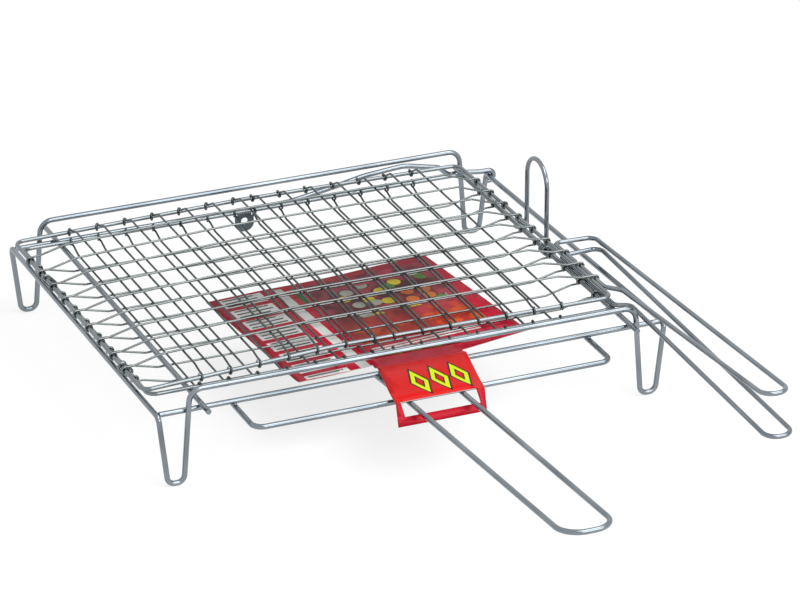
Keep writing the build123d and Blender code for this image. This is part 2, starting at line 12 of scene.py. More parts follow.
import bmesh
import bpy
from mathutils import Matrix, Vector

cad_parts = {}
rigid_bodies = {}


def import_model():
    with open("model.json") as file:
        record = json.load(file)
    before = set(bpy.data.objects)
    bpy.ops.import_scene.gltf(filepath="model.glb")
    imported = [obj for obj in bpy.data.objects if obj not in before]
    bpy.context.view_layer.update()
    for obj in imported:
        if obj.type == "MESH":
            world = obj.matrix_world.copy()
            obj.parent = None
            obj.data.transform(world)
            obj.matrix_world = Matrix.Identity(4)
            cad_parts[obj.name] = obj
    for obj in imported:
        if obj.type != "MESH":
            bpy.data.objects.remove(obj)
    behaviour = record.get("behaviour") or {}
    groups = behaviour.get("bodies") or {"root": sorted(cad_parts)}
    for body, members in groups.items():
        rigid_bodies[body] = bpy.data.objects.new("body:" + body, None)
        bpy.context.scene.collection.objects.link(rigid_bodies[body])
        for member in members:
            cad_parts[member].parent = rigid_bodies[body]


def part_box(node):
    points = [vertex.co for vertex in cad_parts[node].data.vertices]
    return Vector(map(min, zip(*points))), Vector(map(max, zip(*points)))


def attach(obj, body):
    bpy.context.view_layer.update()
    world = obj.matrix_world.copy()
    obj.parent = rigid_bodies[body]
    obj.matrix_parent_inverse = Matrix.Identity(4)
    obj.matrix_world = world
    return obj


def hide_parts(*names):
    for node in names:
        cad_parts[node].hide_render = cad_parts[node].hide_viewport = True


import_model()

for leftover in [o for o in bpy.data.objects if o.name in ("Cube", "Light", "Camera")]:
    bpy.data.objects.remove(leftover)
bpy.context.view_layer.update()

# %% [markdown]
# Four wire gauges make the whole object. They are named once here, with the small gap that
# keeps two welded wires from sharing a surface, because every centre line below is worked
# out from a node's box and one of these diameters.

# %% Wire gauges
STAND_WIRE = 0.0045
HANDLE_WIRE = 0.004
BORDER_WIRE = 0.0035
GRID_WIRE = 0.0018
RING_WIRE = 0.002
WELD_GAP = 0.00005
UP = Vector((0, 0, 1))
RIGHT = Vector((1, 0, 0))
BACK = Vector((0, 1, 0))


def axis_box(node, wire):
    """Lowest and highest corner of the centre line inside a bent rod's box."""
    low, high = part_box(node)
    half = Vector((wire / 2,) * 3)
    return low + half, high - half


# %% [markdown]
# A bent rod is straight runs joined by arcs, one arc for each corner. Working the arc out
# from the bend radius keeps the tube as thick in its corners as on its runs, which a curve
# with free handles wouldn't promise.

# %% Centre line of a bent rod
ARC_STEP = radians(9)


def arc(centre, start, end):
    """Points on the arc from centre + start to centre + end, two radii of equal length."""
    turn = start.angle(end)
    count = max(2, ceil(turn / ARC_STEP))
    shares = [k / count for k in range(count + 1)]
    return [centre + (start * sin((1 - t) * turn) + end * sin(t * turn)) / sin(turn) for t in shares]


def bent(points, bends):
    """Centre line through the points, with a bend radius for each inner corner."""
    points = [Vector(p) for p in points]
    line = [points[0]]
    for before, corner, after, bend in zip(points, points[1:], points[2:], bends):
        into, out = (before - corner).normalized(), (after - corner).normalized()
        half = into.angle(out) / 2
        centre = corner + (into + out).normalized() * bend / sin(half)
        reach = bend / tan(half)
        line += arc(centre, corner + into * reach - centre, corner + out * reach - centre)
    return line + [points[-1]]


# %% [markdown]
# Geometry Nodes turn a chain of edges into round wire. The tree is built once, with its
# radius, its number of sides and its material as named inputs, and every rod uses it. A
# second tree repeats one wire along a row first, with a different gap in the middle,
# because the cross wires stand closer together on each side of the hanger tab.

# %% Node trees for round wire
def new_tree(name, inputs):
    """Empty geometry tree with a geometry socket each way and the named inputs."""
    tree = bpy.data.node_groups.new(name, "GeometryNodeTree")
    tree.interface.new_socket("Geometry", in_out="INPUT", socket_type="NodeSocketGeometry")
    tree.interface.new_socket("Geometry", in_out="OUTPUT", socket_type="NodeSocketGeometry")
    for label, kind in inputs:
        tree.interface.new_socket(label, in_out="INPUT", socket_type="NodeSocket" + kind)
    return tree, tree.nodes.new("NodeGroupInput"), tree.nodes.new("NodeGroupOutput")


def math_node(tree, operation, first, second):
    """A math node of two inputs, each a socket or a number."""
    node = tree.nodes.new("ShaderNodeMath")
    node.operation = operation
    for socket, value in zip(node.inputs, (first, second)):
        if isinstance(value, bpy.types.NodeSocket):
            tree.links.new(value, socket)
        else:
            socket.default_value = value
    return node.outputs["Value"]


def thicken(tree, source, geometry, target):
    """Nodes that sweep a round section along the edges, with smooth sides and flat ends."""
    link = tree.links.new
    sides_only = math_node(tree, "LESS_THAN", tree.nodes.new("GeometryNodeCornersOfFace").outputs["Total"], 4.5)
    curve = tree.nodes.new("GeometryNodeMeshToCurve")
    section = tree.nodes.new("GeometryNodeCurvePrimitiveCircle")
    tube = tree.nodes.new("GeometryNodeCurveToMesh")
    smooth = tree.nodes.new("GeometryNodeSetShadeSmooth")
    real = tree.nodes.new("GeometryNodeRealizeInstances")
    finish = tree.nodes.new("GeometryNodeSetMaterial")
    link(geometry, curve.inputs["Mesh"])
    link(source.outputs["Radius"], section.inputs["Radius"])
    link(source.outputs["Sides"], section.inputs["Resolution"])
    link(curve.outputs["Curve"], tube.inputs["Curve"])
    link(section.outputs["Curve"], tube.inputs["Profile Curve"])
    tube.inputs["Fill Caps"].default_value = True
    link(sides_only, smooth.inputs["Selection"])
    link(tube.outputs["Mesh"], smooth.inputs["Geometry"])
    link(smooth.outputs["Geometry"], real.inputs["Geometry"])
    link(real.outputs["Geometry"], finish.inputs["Geometry"])
    link(source.outputs["Material"], finish.inputs["Material"])
    link(finish.outputs["Geometry"], target.inputs["Geometry"])


WIRE_INPUTS = [("Radius", "Float"), ("Sides", "Int"), ("Material", "Material")]
round_wire, wire_in, wire_out = new_tree("round wire", WIRE_INPUTS)
thicken(round_wire, wire_in, wire_in.outputs["Geometry"], wire_out)

ROW_INPUTS = WIRE_INPUTS + [("Count", "Int"), ("Step", "Vector"), ("Middle Gap", "Vector")]
wire_row, row_in, row_out = new_tree("row of wires", ROW_INPUTS)


def scaled(tree, vector, factor):
    """A vector socket times a number socket."""
    node = tree.nodes.new("ShaderNodeVectorMath")
    node.operation = "SCALE"
    tree.links.new(vector, node.inputs["Vector"])
    tree.links.new(factor, node.inputs["Scale"])
    return node.outputs["Vector"]


copies = wire_row.nodes.new("GeometryNodeDuplicateElements")
copies.domain = "INSTANCE"
as_one = wire_row.nodes.new("GeometryNodeGeometryToInstance")
spread = wire_row.nodes.new("GeometryNodeTranslateInstances")
loosen = wire_row.nodes.new("GeometryNodeRealizeInstances")
wire_row.links.new(row_in.outputs["Geometry"], as_one.inputs["Geometry"])
wire_row.links.new(as_one.outputs["Instances"], copies.inputs["Geometry"])
wire_row.links.new(row_in.outputs["Count"], copies.inputs["Amount"])
past_middle = math_node(
    wire_row,
    "GREATER_THAN",
    copies.outputs["Duplicate Index"],
    math_node(wire_row, "SUBTRACT", math_node(wire_row, "DIVIDE", row_in.outputs["Count"], 2.0), 0.5),
)
total = wire_row.nodes.new("ShaderNodeVectorMath")
total.operation = "ADD"
wire_row.links.new(scaled(wire_row, row_in.outputs["Step"], copies.outputs["Duplicate Index"]), total.inputs[0])
wire_row.links.new(scaled(wire_row, row_in.outputs["Middle Gap"], past_middle), total.inputs[1])
wire_row.links.new(copies.outputs["Geometry"], spread.inputs["Instances"])
wire_row.links.new(total.outputs["Vector"], spread.inputs["Translation"])
wire_row.links.new(spread.outputs["Instances"], loosen.inputs["Geometry"])
thicken(wire_row, row_in, loosen.outputs["Geometry"], row_out)
print("trees:", [t.name for t in bpy.data.node_groups])

# %% [markdown]
# Each piece is made in the same four moves: its chains of points become a mesh of edges,
# the tree runs on it and gives it its finish, the evaluated result is kept as a plain mesh,
# and the piece is parented to the body it rides on, while the imported node it stands for
# is hidden.

# %% Make a wire piece
def edges_object(name, chains, closed):
    """Object whose mesh is one chain of edges for each list of points."""
    mesh = bpy.data.meshes.new(name)
    points, edges = [], []
    for chain in chains:
        first = len(points)
        points += chain
        edges += [(k, k + 1) for k in range(first, len(points) - 1)]
        if closed:
            edges.append((len(points) - 1, first))
    mesh.from_pydata(points, edges, [])
    piece = bpy.data.objects.new(name, mesh)
    bpy.context.scene.collection.objects.link(piece)
    return piece


def run_tree(piece, tree, values):
    """Run a geometry tree on a piece and keep the result as its plain mesh."""
    modifier = piece.modifiers.new(tree.name, "NODES")
    modifier.node_group = tree
    for item in tree.interface.items_tree:
        if item.in_out == "INPUT" and item.name in values:
            modifier[item.identifier] = values[item.name]
    graph = bpy.context.evaluated_depsgraph_get()
    made = bpy.data.meshes.new_from_object(piece.evaluated_get(graph))
    piece.modifiers.remove(modifier)
    made.name = piece.name
    piece.data = made


def belongs(piece, body, nodes):
    """Parent a finished piece to its body, hide the imported nodes it stands for and print its face count."""
    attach(piece, body)
    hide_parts(*nodes)
    print(piece.name, len(piece.data.polygons), "faces")


def wire_piece(name, body, chains, wire, finish, closed=False, sides=20, row=None):
    """Round wire along the chains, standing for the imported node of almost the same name."""
    piece = edges_object(name + "_wire", chains, closed)
    values = {"Radius": wire / 2, "Sides": sides, "Material": finish}
    if row:
        run_tree(piece, wire_row, {**values, **row})
    else:
        run_tree(piece, round_wire, values)
    belongs(piece, body, [name])
    return piece


# %% [markdown]
# Zinc plating on drawn wire is bright but not a mirror. Its coat is a little thicker, greyer
# and rougher in slow patches, and each gauge of wire has its own tone. The thin cross wires
# are a much darker copy of the thin long wires of the same gauge: painted dark reflection.
# One node group makes those patches for every metal, and each metal sets its own two tones
# and its roughness.

# %% Node group for plated wire
def shader_group(name, inputs, outputs):
    """Empty shader group with named number inputs and colour or number outputs."""
    group = bpy.data.node_groups.new(name, "ShaderNodeTree")
    for label, value in inputs:
        socket = group.interface.new_socket(label, in_out="INPUT", socket_type="NodeSocketFloat")
        socket.default_value = value
    for label, kind in outputs:
        group.interface.new_socket(label, in_out="OUTPUT", socket_type="NodeSocket" + kind)
    return group, group.nodes.new("NodeGroupInput"), group.nodes.new("NodeGroupOutput")


def noise(tree, vector, scale, detail):
    """Noise on a coordinate, as a number socket."""
    node = tree.nodes.new("ShaderNodeTexNoise")
    tree.links.new(vector, node.inputs["Vector"])
    if isinstance(scale, bpy.types.NodeSocket):
        tree.links.new(scale, node.inputs["Scale"])
    else:
        node.inputs["Scale"].default_value = scale
    node.inputs["Detail"].default_value = detail
    return node.outputs[0]


def remap(tree, value, low, high, to_low, to_high):
    """Map a value's range to another one, with the ends held."""
    node = tree.nodes.new("ShaderNodeMapRange")
    tree.links.new(value, node.inputs["Value"])
    for label, number in zip(("From Min", "From Max", "To Min", "To Max"), (low, high, to_low, to_high)):
        if isinstance(number, bpy.types.NodeSocket):
            tree.links.new(number, node.inputs[label])
        else:
            node.inputs[label].default_value = number
    return node.outputs["Result"]


PATCH_SCALE = 26.0
plated, plated_in, plated_out = shader_group(
    "plated marks",
    [("Roughness Low", 0.2), ("Roughness High", 0.35)],
    [("Tone", "Float"), ("Roughness", "Float")],
)
place = plated.nodes.new("ShaderNodeTexCoord").outputs["Object"]
patches = noise(plated, place, PATCH_SCALE, 1.0)
plated.links.new(remap(plated, patches, 0.25, 0.75, 0.0, 1.0), plated_out.inputs["Tone"])
rough = remap(plated, patches, 0.3, 0.7, plated_in.outputs["Roughness Low"], plated_in.outputs["Roughness High"])
plated.links.new(rough, plated_out.inputs["Roughness"])


def metal(name, dull, bright, rough_low, rough_high):
    """Plated metal between a dull and a bright tone."""
    material = bpy.data.materials.new(name)
    material.use_nodes = True
    tree = material.node_tree
    shader = tree.nodes["Principled BSDF"]
    marks = tree.nodes.new("ShaderNodeGroup")
    marks.node_tree = plated
    marks.inputs["Roughness Low"].default_value = rough_low
    marks.inputs["Roughness High"].default_value = rough_high
    tones = tree.nodes.new("ShaderNodeMix")
    tones.data_type = "RGBA"
    tones.inputs["A"].default_value = (*dull, 1)
    tones.inputs["B"].default_value = (*bright, 1)
    tree.links.new(marks.outputs["Tone"], tones.inputs["Factor"])
    tree.links.new(tones.outputs["Result"], shader.inputs["Base Color"])
    tree.links.new(marks.outputs["Roughness"], shader.inputs["Roughness"])
    shader.inputs["Metallic"].default_value = 1.0
    return material


rod_zinc = metal("bright zinc rod", (0.17, 0.195, 0.215), (0.27, 0.30, 0.325), 0.12, 0.2)
border_zinc = metal("bright zinc border", (0.15, 0.17, 0.18), (0.25, 0.275, 0.29), 0.14, 0.22)
# Cross wires: painted dark reflection, a much darker copy of the long wires' tones.
dark_reflection_zinc = metal("thin zinc cross wire", (0.045, 0.058, 0.06), (0.11, 0.13, 0.135), 0.16, 0.26)
long_zinc = metal("thin zinc long wire", (0.13, 0.145, 0.145), (0.21, 0.23, 0.23), 0.2, 0.3)
sheet_zinc = metal("pressed zinc sheet", (0.05, 0.065, 0.075), (0.13, 0.15, 0.165), 0.25, 0.4)
print("metals made")

# %% [markdown]
# The stand is two bent frames, one under each end, with rails and rods between them. Each
# frame is one rod: up the outer arm, along the side, round the foot and over the top. Its
# points mirror left and right, so only half of them are written.

# %% Stand: leg frames and side rails
FOOT_SPAN = 0.0134
ARM_LEAN = 0.0067
TOP_RAIL_HALF = 0.1908
RAIL_BEND, FOOT_BEND, TOP_BEND = 0.005, 0.0064, 0.011

LOW_RAIL_BEND = 0.003
HOOK_GAP = 0.0003
HOOK_DROP = 0.0023

rail_low, rail_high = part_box("left_side_rail")
rail_x = -(rail_low.x + rail_high.x) / 2
rail_z = (rail_low.z + rail_high.z) / 2
rail_end = rail_high.y
low_rail_z = rail_z - HOOK_DROP - STAND_WIRE - HOOK_GAP


def half_frame(plane_y, foot_z, top_z, end_z):
    """Right half of a leg frame, from the end of its side rail to the middle of the top."""
    foot_x = rail_x - ARM_LEAN
    return [
        (rail_x, rail_end if plane_y > 0 else -rail_end, end_z),
        (rail_x, plane_y, end_z),
        (foot_x, plane_y, foot_z),
        (foot_x - FOOT_SPAN, plane_y, foot_z),
        (TOP_RAIL_HALF, plane_y, top_z),
    ]


for name, side, right_z, right_bend in (
    ("front_leg_frame", -1, rail_z, RAIL_BEND),
    ("rear_leg_frame", 1, low_rail_z, LOW_RAIL_BEND),
):
    low, high = axis_box(name, STAND_WIRE)
    plane_y = low.y if side < 0 else high.y
    right_half = half_frame(plane_y, low.z, high.z, right_z)
    left_half = [(-x, y, z) for x, y, z in reversed(half_frame(plane_y, low.z, high.z, rail_z))]
    bends = [right_bend, FOOT_BEND, FOOT_BEND, TOP_BEND, TOP_BEND, FOOT_BEND, FOOT_BEND, RAIL_BEND]
    wire_piece(name, "stand", [bent(right_half + left_half, bends)], STAND_WIRE, rod_zinc)

right_rail = [Vector((rail_x, -rail_end, rail_z)), Vector((rail_x, rail_end, low_rail_z))]
wire_piece("right_side_rail", "stand", [right_rail], STAND_WIRE, rod_zinc)


# %% Straight rods
def straight_piece(name, body, wire, finish):
    """Straight rod along the longest side of its node's box."""
    low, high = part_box(name)
    middle = (low + high) / 2
    along = max(range(3), key=lambda k: high[k] - low[k])
    start, end = middle.copy(), middle.copy()
    start[along], end[along] = low[along], high[along]
    wire_piece(name, body, [[start, end]], wire, finish)


for name in ("left_side_rail", "front_lower_rod"):
    straight_piece(name, "stand", STAND_WIRE, rod_zinc)
for name in ("left_cross_rod", "right_cross_rod"):
    straight_piece(name, "lower_grid", STAND_WIRE, rod_zinc)

# %% [markdown]
# The rear rod isn't straight. It was bent up into a slow hump on the right and its end is
# hooked over the side rail, so its points and bends are written one by one.

# %% Rear rod with its hump and hook
HUMP_LENGTH, HUMP_RISE, HUMP_MARGIN = 0.149, 0.0155, 0.007
HUMP_SHAPE = [(0, 0), (0.3, 0.48), (0.47, 0.8), (0.72, 1), (0.94, 0.54), (1, 0)]
HUMP_BENDS = [0.12, 0.06, 0.06, 0.04, 0.009, 0.007]
HOOK_APPROACH, HOOK_BEND = 0.008, 0.040
HOOK_OVER = radians(200)

low, high = axis_box("rear_lower_rod", STAND_WIRE)
rod_y = (low.y + high.y) / 2
hump_end = axis_box("right_cross_rod", STAND_WIRE)[0].x - HUMP_MARGIN
hump = [(hump_end - HUMP_LENGTH * (1 - run), rod_y, rail_z + HUMP_RISE * rise) for run, rise in HUMP_SHAPE]
over_rail = Vector((rail_x, rod_y, rail_z - HOOK_DROP))
straight_start = (low.x - STAND_WIRE / 2, rod_y, rail_z)
hook_arm = (STAND_WIRE + HOOK_GAP) * UP
hook_steps = ceil(HOOK_OVER / ARC_STEP)
hook = [
    over_rail - hook_arm + hook_arm * cos(a) + hook_arm.length * RIGHT * sin(a)
    for a in [HOOK_OVER * k / hook_steps for k in range(1, hook_steps + 1)]
]
past_rod = (hump_end + 2 * HUMP_MARGIN, rod_y, rail_z)
approach = over_rail - HOOK_APPROACH * RIGHT
humped = bent([straight_start, *hump, past_rod, approach, over_rail], HUMP_BENDS + [HOOK_BEND] * 2)
wire_piece("rear_lower_rod", "stand", [humped + hook], STAND_WIRE, rod_zinc)

# %% [markdown]
# The bracket is a wide U under the front rod and the long handle is a narrow one that lies
# over the bracket's bar. Both are loops with two ends tucked under the rod.

# %% Bracket and long handle
BRACKET_BEND = 0.009
HANDLE_WIDTH, HANDLE_END_WIDTH = 0.045, 0.042
HANDLE_RISE = 0.020
HANDLE_BEND, HANDLE_TILT_BEND = 0.018, 0.040

low, high = axis_box("handle_bracket", STAND_WIRE)
bar_y, bar_z = low.y, low.z
bracket_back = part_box("handle_bracket")[1].y
bracket = [(low.x, bracket_back, bar_z), (low.x, bar_y, bar_z), (high.x, bar_y, bar_z), (high.x, bracket_back, bar_z)]
wire_piece("handle_bracket", "stand", [bent(bracket, [BRACKET_BEND] * 2)], STAND_WIRE, rod_zinc)

low, high = axis_box("long_handle", STAND_WIRE)
handle_x = (low.x + high.x) / 2
handle_bar_z = bar_z + STAND_WIRE + 2 * WELD_GAP
handle_right = [
    (handle_x + HANDLE_WIDTH / 2, high.y + STAND_WIRE / 2, low.z),
    (handle_x + HANDLE_WIDTH / 2, bar_y, handle_bar_z),
    (handle_x + HANDLE_END_WIDTH / 2, low.y, high.z),
]
handle_left = [(2 * handle_x - x, y, z) for x, y, z in reversed(handle_right)]
loop = bent(handle_right + handle_left, [HANDLE_TILT_BEND, HANDLE_BEND, HANDLE_BEND, HANDLE_TILT_BEND])
wire_piece("long_handle", "stand", [loop], STAND_WIRE, rod_zinc)

# %% [markdown]
# The thin wires are the weave of both grids. Each one leaves a border, dips or climbs to
# the level of its grid, and is twisted round the border at both ends. A twist is a helix
# about the border's centre line, so it starts where the wire touches the border and walks
# sideways by a little more than one wire for each turn.

# %% Twisted ends
TWIST_STEP = radians(20)
TWIST_PITCH = GRID_WIRE * 1.06


def twist(start, centre, turn, walk):
    """Helix round the centre from the start, turning about the walk's direction."""
    arm = start - centre
    axis = walk.normalized()
    side = axis.cross(arm)
    count = ceil(abs(turn) / TWIST_STEP)
    angles = [turn * k / count for k in range(1, count + 1)]
    return [centre + arm * cos(a) + side * sin(a) + walk * TWIST_PITCH * abs(a) / tau for a in angles]


def grid_wire(corners, bends, start, end):
    """Centre line of a thin wire with a twist of (centre, turn, walk) at each end."""
    line = bent(corners, bends)
    return list(reversed(twist(line[0], *start))) + line + twist(line[-1], *end)


def between(value, knots):
    """Height on a chain of straight runs, given as (place, height) knots."""
    for (a, height_a), (b, height_b) in zip(knots, knots[1:]):
        if value <= b:
            break
    return height_a + (height_b - height_a) * (value - a) / (b - a)


# %% [markdown]
# The lower grid's border is a flat loop. Its long wires hang below it in a shallow belly
# and the cross wires lie one layer higher, so food rests on the cross wires.

# %% Lower border
BORDER_BEND = 0.008
SIDE_STEPS = 9


def rounded_loop(low, high, bend, z):
    """Points round a flat rectangle with rounded corners."""
    corners = [(high.x, high.y), (low.x, high.y), (low.x, low.y), (high.x, low.y)]
    points = []
    for quarter, (x, y) in enumerate(corners):
        centre = Vector((x - bend * (1 if x == high.x else -1), y - bend * (1 if y == high.y else -1), z))
        for k in range(SIDE_STEPS + 1):
            a = (quarter + k / SIDE_STEPS) * pi / 2
            points.append(centre + bend * Vector((cos(a), sin(a), 0)))
    return points


low, high = axis_box("lower_border", BORDER_WIRE)
lower_low, lower_high = low, high
lower_z = (low.z + high.z) / 2
lower_loop = rounded_loop(low, high, BORDER_BEND, lower_z)
wire_piece("lower_border", "lower_grid", [lower_loop], BORDER_WIRE, border_zinc, closed=True)

# %% Lower long wires
WIRE_BEND = 0.006
BELLY_DEPTH = 0.0083
BELLY_INSET = 0.030
BELLY_INSET_END = 0.015
TWIST_TURN = radians(330)
LONG_PITCH = 0.0282
LONG_COUNT = 9
layer = GRID_WIRE + 2 * WELD_GAP
hook_radius = (BORDER_WIRE + GRID_WIRE) / 2 + WELD_GAP
under_hook = lower_z - hook_radius
belly_z = lower_z - BELLY_DEPTH

lower_back_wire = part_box("lower_long_wires")[1].y - GRID_WIRE / 2
chain = grid_wire(
    [
        (lower_low.x, lower_back_wire, under_hook),
        (lower_low.x + BELLY_INSET / 4, lower_back_wire, under_hook),
        (lower_low.x + BELLY_INSET, lower_back_wire, belly_z),
        (lower_high.x - BELLY_INSET, lower_back_wire, belly_z),
        (lower_high.x - BELLY_INSET / 4, lower_back_wire, under_hook),
        (lower_high.x, lower_back_wire, under_hook),
    ],
    [WIRE_BEND] * 4,
    (Vector((lower_low.x, lower_back_wire, lower_z)), -TWIST_TURN, -BACK),
    (Vector((lower_high.x, lower_back_wire, lower_z)), TWIST_TURN, -BACK),
)
row = {"Count": LONG_COUNT, "Step": (0, -LONG_PITCH, 0), "Middle Gap": (0, 0, 0)}
wire_piece("lower_long_wires", "lower_grid", [chain], GRID_WIRE, long_zinc, sides=8, row=row)

# %% Lower cross wires, mirrored about the tab
WIRE_PITCH = 0.0243
MIDDLE_PITCH = 0.0158
CROSS_PER_SIDE = 7

low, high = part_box("lower_cross_wires")
grid_middle = (low.x + high.x) / 2
cross_xs = {
    side: [grid_middle + side * (MIDDLE_PITCH / 2 + WIRE_PITCH * k) for k in range(CROSS_PER_SIDE)]
    for side in (-1, 1)
}
chains = []
for side, xs in cross_xs.items():
    for x in xs:
        corners = [
            (x, lower_low.y, under_hook),
            (x, lower_low.y + BELLY_INSET_END / 4, under_hook),
            (x, lower_low.y + BELLY_INSET_END, belly_z + layer),
            (x, lower_high.y - BELLY_INSET_END, belly_z + layer),
            (x, lower_high.y - BELLY_INSET_END / 4, under_hook),
            (x, lower_high.y, under_hook),
        ]
        front = (Vector((x, lower_low.y, lower_z)), -side * TWIST_TURN, side * RIGHT)
        back = (Vector((x, lower_high.y, lower_z)), side * TWIST_TURN, side * RIGHT)
        chains.append(grid_wire(corners, [WIRE_BEND / 2] * 4, front, back))
wire_piece("lower_cross_wires", "lower_grid", chains, GRID_WIRE, dark_reflection_zinc, sides=8)

# %% [markdown]
# The upper grid is arched. Its border rises from the hinge side to a soft top and falls a
# little again, and its right end is higher at the front than at the back. The knots below
# hold those heights, and every wire that crosses the border reads its own height from them.

# %% Upper border
ARCH_BEND = 0.150
BACK_ARCH_X, FRONT_ARCH_X = -0.020, -0.060
BACK_ARCH_RISE, FRONT_ARCH_RISE = 0.0038, 0.008
BACK_RIGHT_RISE, FRONT_RIGHT_RISE = 0.0012, 0.006
CROWN_LEFT_RISE, CROWN_TOP_RISE, CROWN_RIGHT_RISE = 0.0066, 0.012, 0.011

low, high = axis_box("upper_border", BORDER_WIRE)
upper_low, upper_high = low, high
hinge_z = low.z
front_side = [(low.x, hinge_z), (FRONT_ARCH_X, hinge_z + FRONT_ARCH_RISE), (high.x, hinge_z + FRONT_RIGHT_RISE)]
back_side = [(low.x, hinge_z), (BACK_ARCH_X, hinge_z + BACK_ARCH_RISE), (high.x, hinge_z + BACK_RIGHT_RISE)]
right_side = [(low.y, hinge_z + FRONT_RIGHT_RISE), (high.y, hinge_z + BACK_RIGHT_RISE)]
crown = [
    (low.x + BELLY_INSET, hinge_z + CROWN_LEFT_RISE),
    (FRONT_ARCH_X, hinge_z + CROWN_TOP_RISE),
    (high.x, hinge_z + CROWN_RIGHT_RISE),
]
arched = [
    (low.x, WELD_GAP / 2, hinge_z),
    (low.x, high.y, hinge_z),
    (BACK_ARCH_X, high.y, hinge_z + BACK_ARCH_RISE),
    (high.x, high.y, hinge_z + BACK_RIGHT_RISE),
    (high.x, low.y, hinge_z + FRONT_RIGHT_RISE),
    (FRONT_ARCH_X, low.y, hinge_z + FRONT_ARCH_RISE),
    (low.x, low.y, hinge_z),
    (low.x, -WELD_GAP / 2, hinge_z),
]
arch_bends = [BORDER_BEND, ARCH_BEND, BORDER_BEND, BORDER_BEND, ARCH_BEND, BORDER_BEND]
wire_piece("upper_border", "upper_grid", [bent(arched, arch_bends)], BORDER_WIRE, border_zinc)

# %% Upper cross wires
chains = []
for side, xs in cross_xs.items():
    for x in xs:
        front_top = between(x, front_side) + hook_radius
        back_top = between(x, back_side) + hook_radius
        corners = [
            (x, low.y, front_top),
            (x, low.y + BELLY_INSET_END / 4, front_top),
            (x, low.y + BELLY_INSET_END, between(x, crown)),
            (x, high.y - BELLY_INSET_END, between(x, crown)),
            (x, high.y - BELLY_INSET_END / 4, back_top),
            (x, high.y, back_top),
        ]
        front = (Vector((x, low.y, between(x, front_side))), side * TWIST_TURN, side * RIGHT)
        back = (Vector((x, high.y, between(x, back_side))), -side * TWIST_TURN, side * RIGHT)
        chains.append(grid_wire(corners, [WIRE_BEND / 2] * 4, front, back))
wire_piece("upper_cross_wires", "upper_grid", chains, GRID_WIRE, dark_reflection_zinc, sides=8)

# %% Upper long wires
CROWN_BEND = 0.060
BASE_TWIST = radians(330)
base_x = high.x + (BORDER_WIRE + HANDLE_WIRE) / 2 + 2 * WELD_GAP
base_drop = (HANDLE_WIRE - BORDER_WIRE) / 2
curl_radius = (HANDLE_WIRE + GRID_WIRE) / 2 + WELD_GAP
UPPER_BASE_BACK, UPPER_BASE_FRONT = -0.0345, -0.132
back_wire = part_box("upper_long_wires")[1].y - GRID_WIRE / 2
chains = []
for k in range(LONG_COUNT):
    y = back_wire - LONG_PITCH * k
    right_z = between(y, right_side)
    on_base = UPPER_BASE_FRONT < y < UPPER_BASE_BACK
    near_right = high.x - BELLY_INSET
    corners = [
        (low.x, y, hinge_z + hook_radius),
        (low.x + BELLY_INSET / 4, y, hinge_z + hook_radius),
        (low.x + BELLY_INSET, y, crown[0][1] + layer),
        (FRONT_ARCH_X, y, crown[1][1] + layer),
        (near_right, y, between(near_right, crown) + layer),
        (high.x - BELLY_INSET / 4, y, right_z + hook_radius),
        (base_x if on_base else high.x, y, right_z + hook_radius),
    ]
    start = (Vector((low.x, y, hinge_z)), TWIST_TURN, -BACK)
    if on_base:
        end = (Vector((base_x, y, right_z + hook_radius - curl_radius)), -BASE_TWIST, -BACK)
    else:
        end = (Vector((high.x, y, right_z)), -TWIST_TURN, -BACK)
    bends = [WIRE_BEND, WIRE_BEND * 4, CROWN_BEND, WIRE_BEND, WIRE_BEND / 2]
    chains.append(grid_wire(corners, bends, start, end))
wire_piece("upper_long_wires", "upper_grid", chains, GRID_WIRE, long_zinc, sides=8)

# %% [markdown]
# The two grip loops are made alike. The rod starts in the middle of its welded base, runs
# forward, steps out through a short neck, goes all the way to the grip's end and comes back
# to the base from behind. The lower one is wider, so the upper one nests inside it.

# %% Handle loops
LOWER_NEAR, LOWER_FAR, LOWER_END_FAR = 0.0115, 0.037, 0.034
UPPER_NEAR, UPPER_FAR = 0.0155, 0.0395
UPPER_END_NEAR, UPPER_END_FAR = 0.013, 0.035
LOWER_NECK_RISE, UPPER_NECK_RISE = 0.001, 0.004
NECK_RUN = 0.008
BASE_BEND, NECK_BEND, GRIP_BEND = 0.006, 0.008, 0.0106
BASE_SEAM = 0.005


def handle_loop(name, body, base, necks, end):
    """Loop handle from its base (x, back y, front y, height at y), necks and far end."""
    base_x, back, front, height = base
    seam = (back + front + BASE_SEAM) / 2
    near, far, far_y, neck_z = necks
    end_near, end_far, end_y, end_z = end
    points = [
        (base_x, seam, height(seam)),
        (base_x, front, height(front)),
        (near, front - NECK_RUN, neck_z),
        (end_near, end_y, end_z),
        (end_far, end_y, end_z),
        (far, far_y, neck_z),
        (base_x, back, height(back)),
        (base_x, seam + BASE_SEAM, height(seam + BASE_SEAM)),
    ]
    bends = [BASE_BEND, NECK_BEND, GRIP_BEND, GRIP_BEND, NECK_BEND, BASE_BEND]
    wire_piece(name, body, [bent(points, bends)], HANDLE_WIRE, rod_zinc)


LOWER_BASE_BACK, LOWER_BASE_FRONT = -0.041, -0.145
rod_low = axis_box("right_cross_rod", STAND_WIRE)[0]
cross_x, cross_z = rod_low.x, rod_low.z
lower_base_x = lower_high.x + (BORDER_WIRE + HANDLE_WIRE) / 2 + GRID_WIRE + 2 * WELD_GAP
lower_base_z = cross_z + (STAND_WIRE + HANDLE_WIRE) / 2 + 2 * WELD_GAP
low, high = axis_box("lower_handle", HANDLE_WIRE)
handle_loop(
    "lower_handle",
    "lower_grid",
    (lower_base_x, LOWER_BASE_BACK, LOWER_BASE_FRONT, lambda y: lower_base_z),
    (cross_x + LOWER_NEAR, cross_x + LOWER_FAR, LOWER_BASE_BACK, lower_base_z + LOWER_NECK_RISE),
    (cross_x + LOWER_NEAR, cross_x + LOWER_END_FAR, low.y, low.z),
)
low, high = axis_box("upper_handle", HANDLE_WIRE)
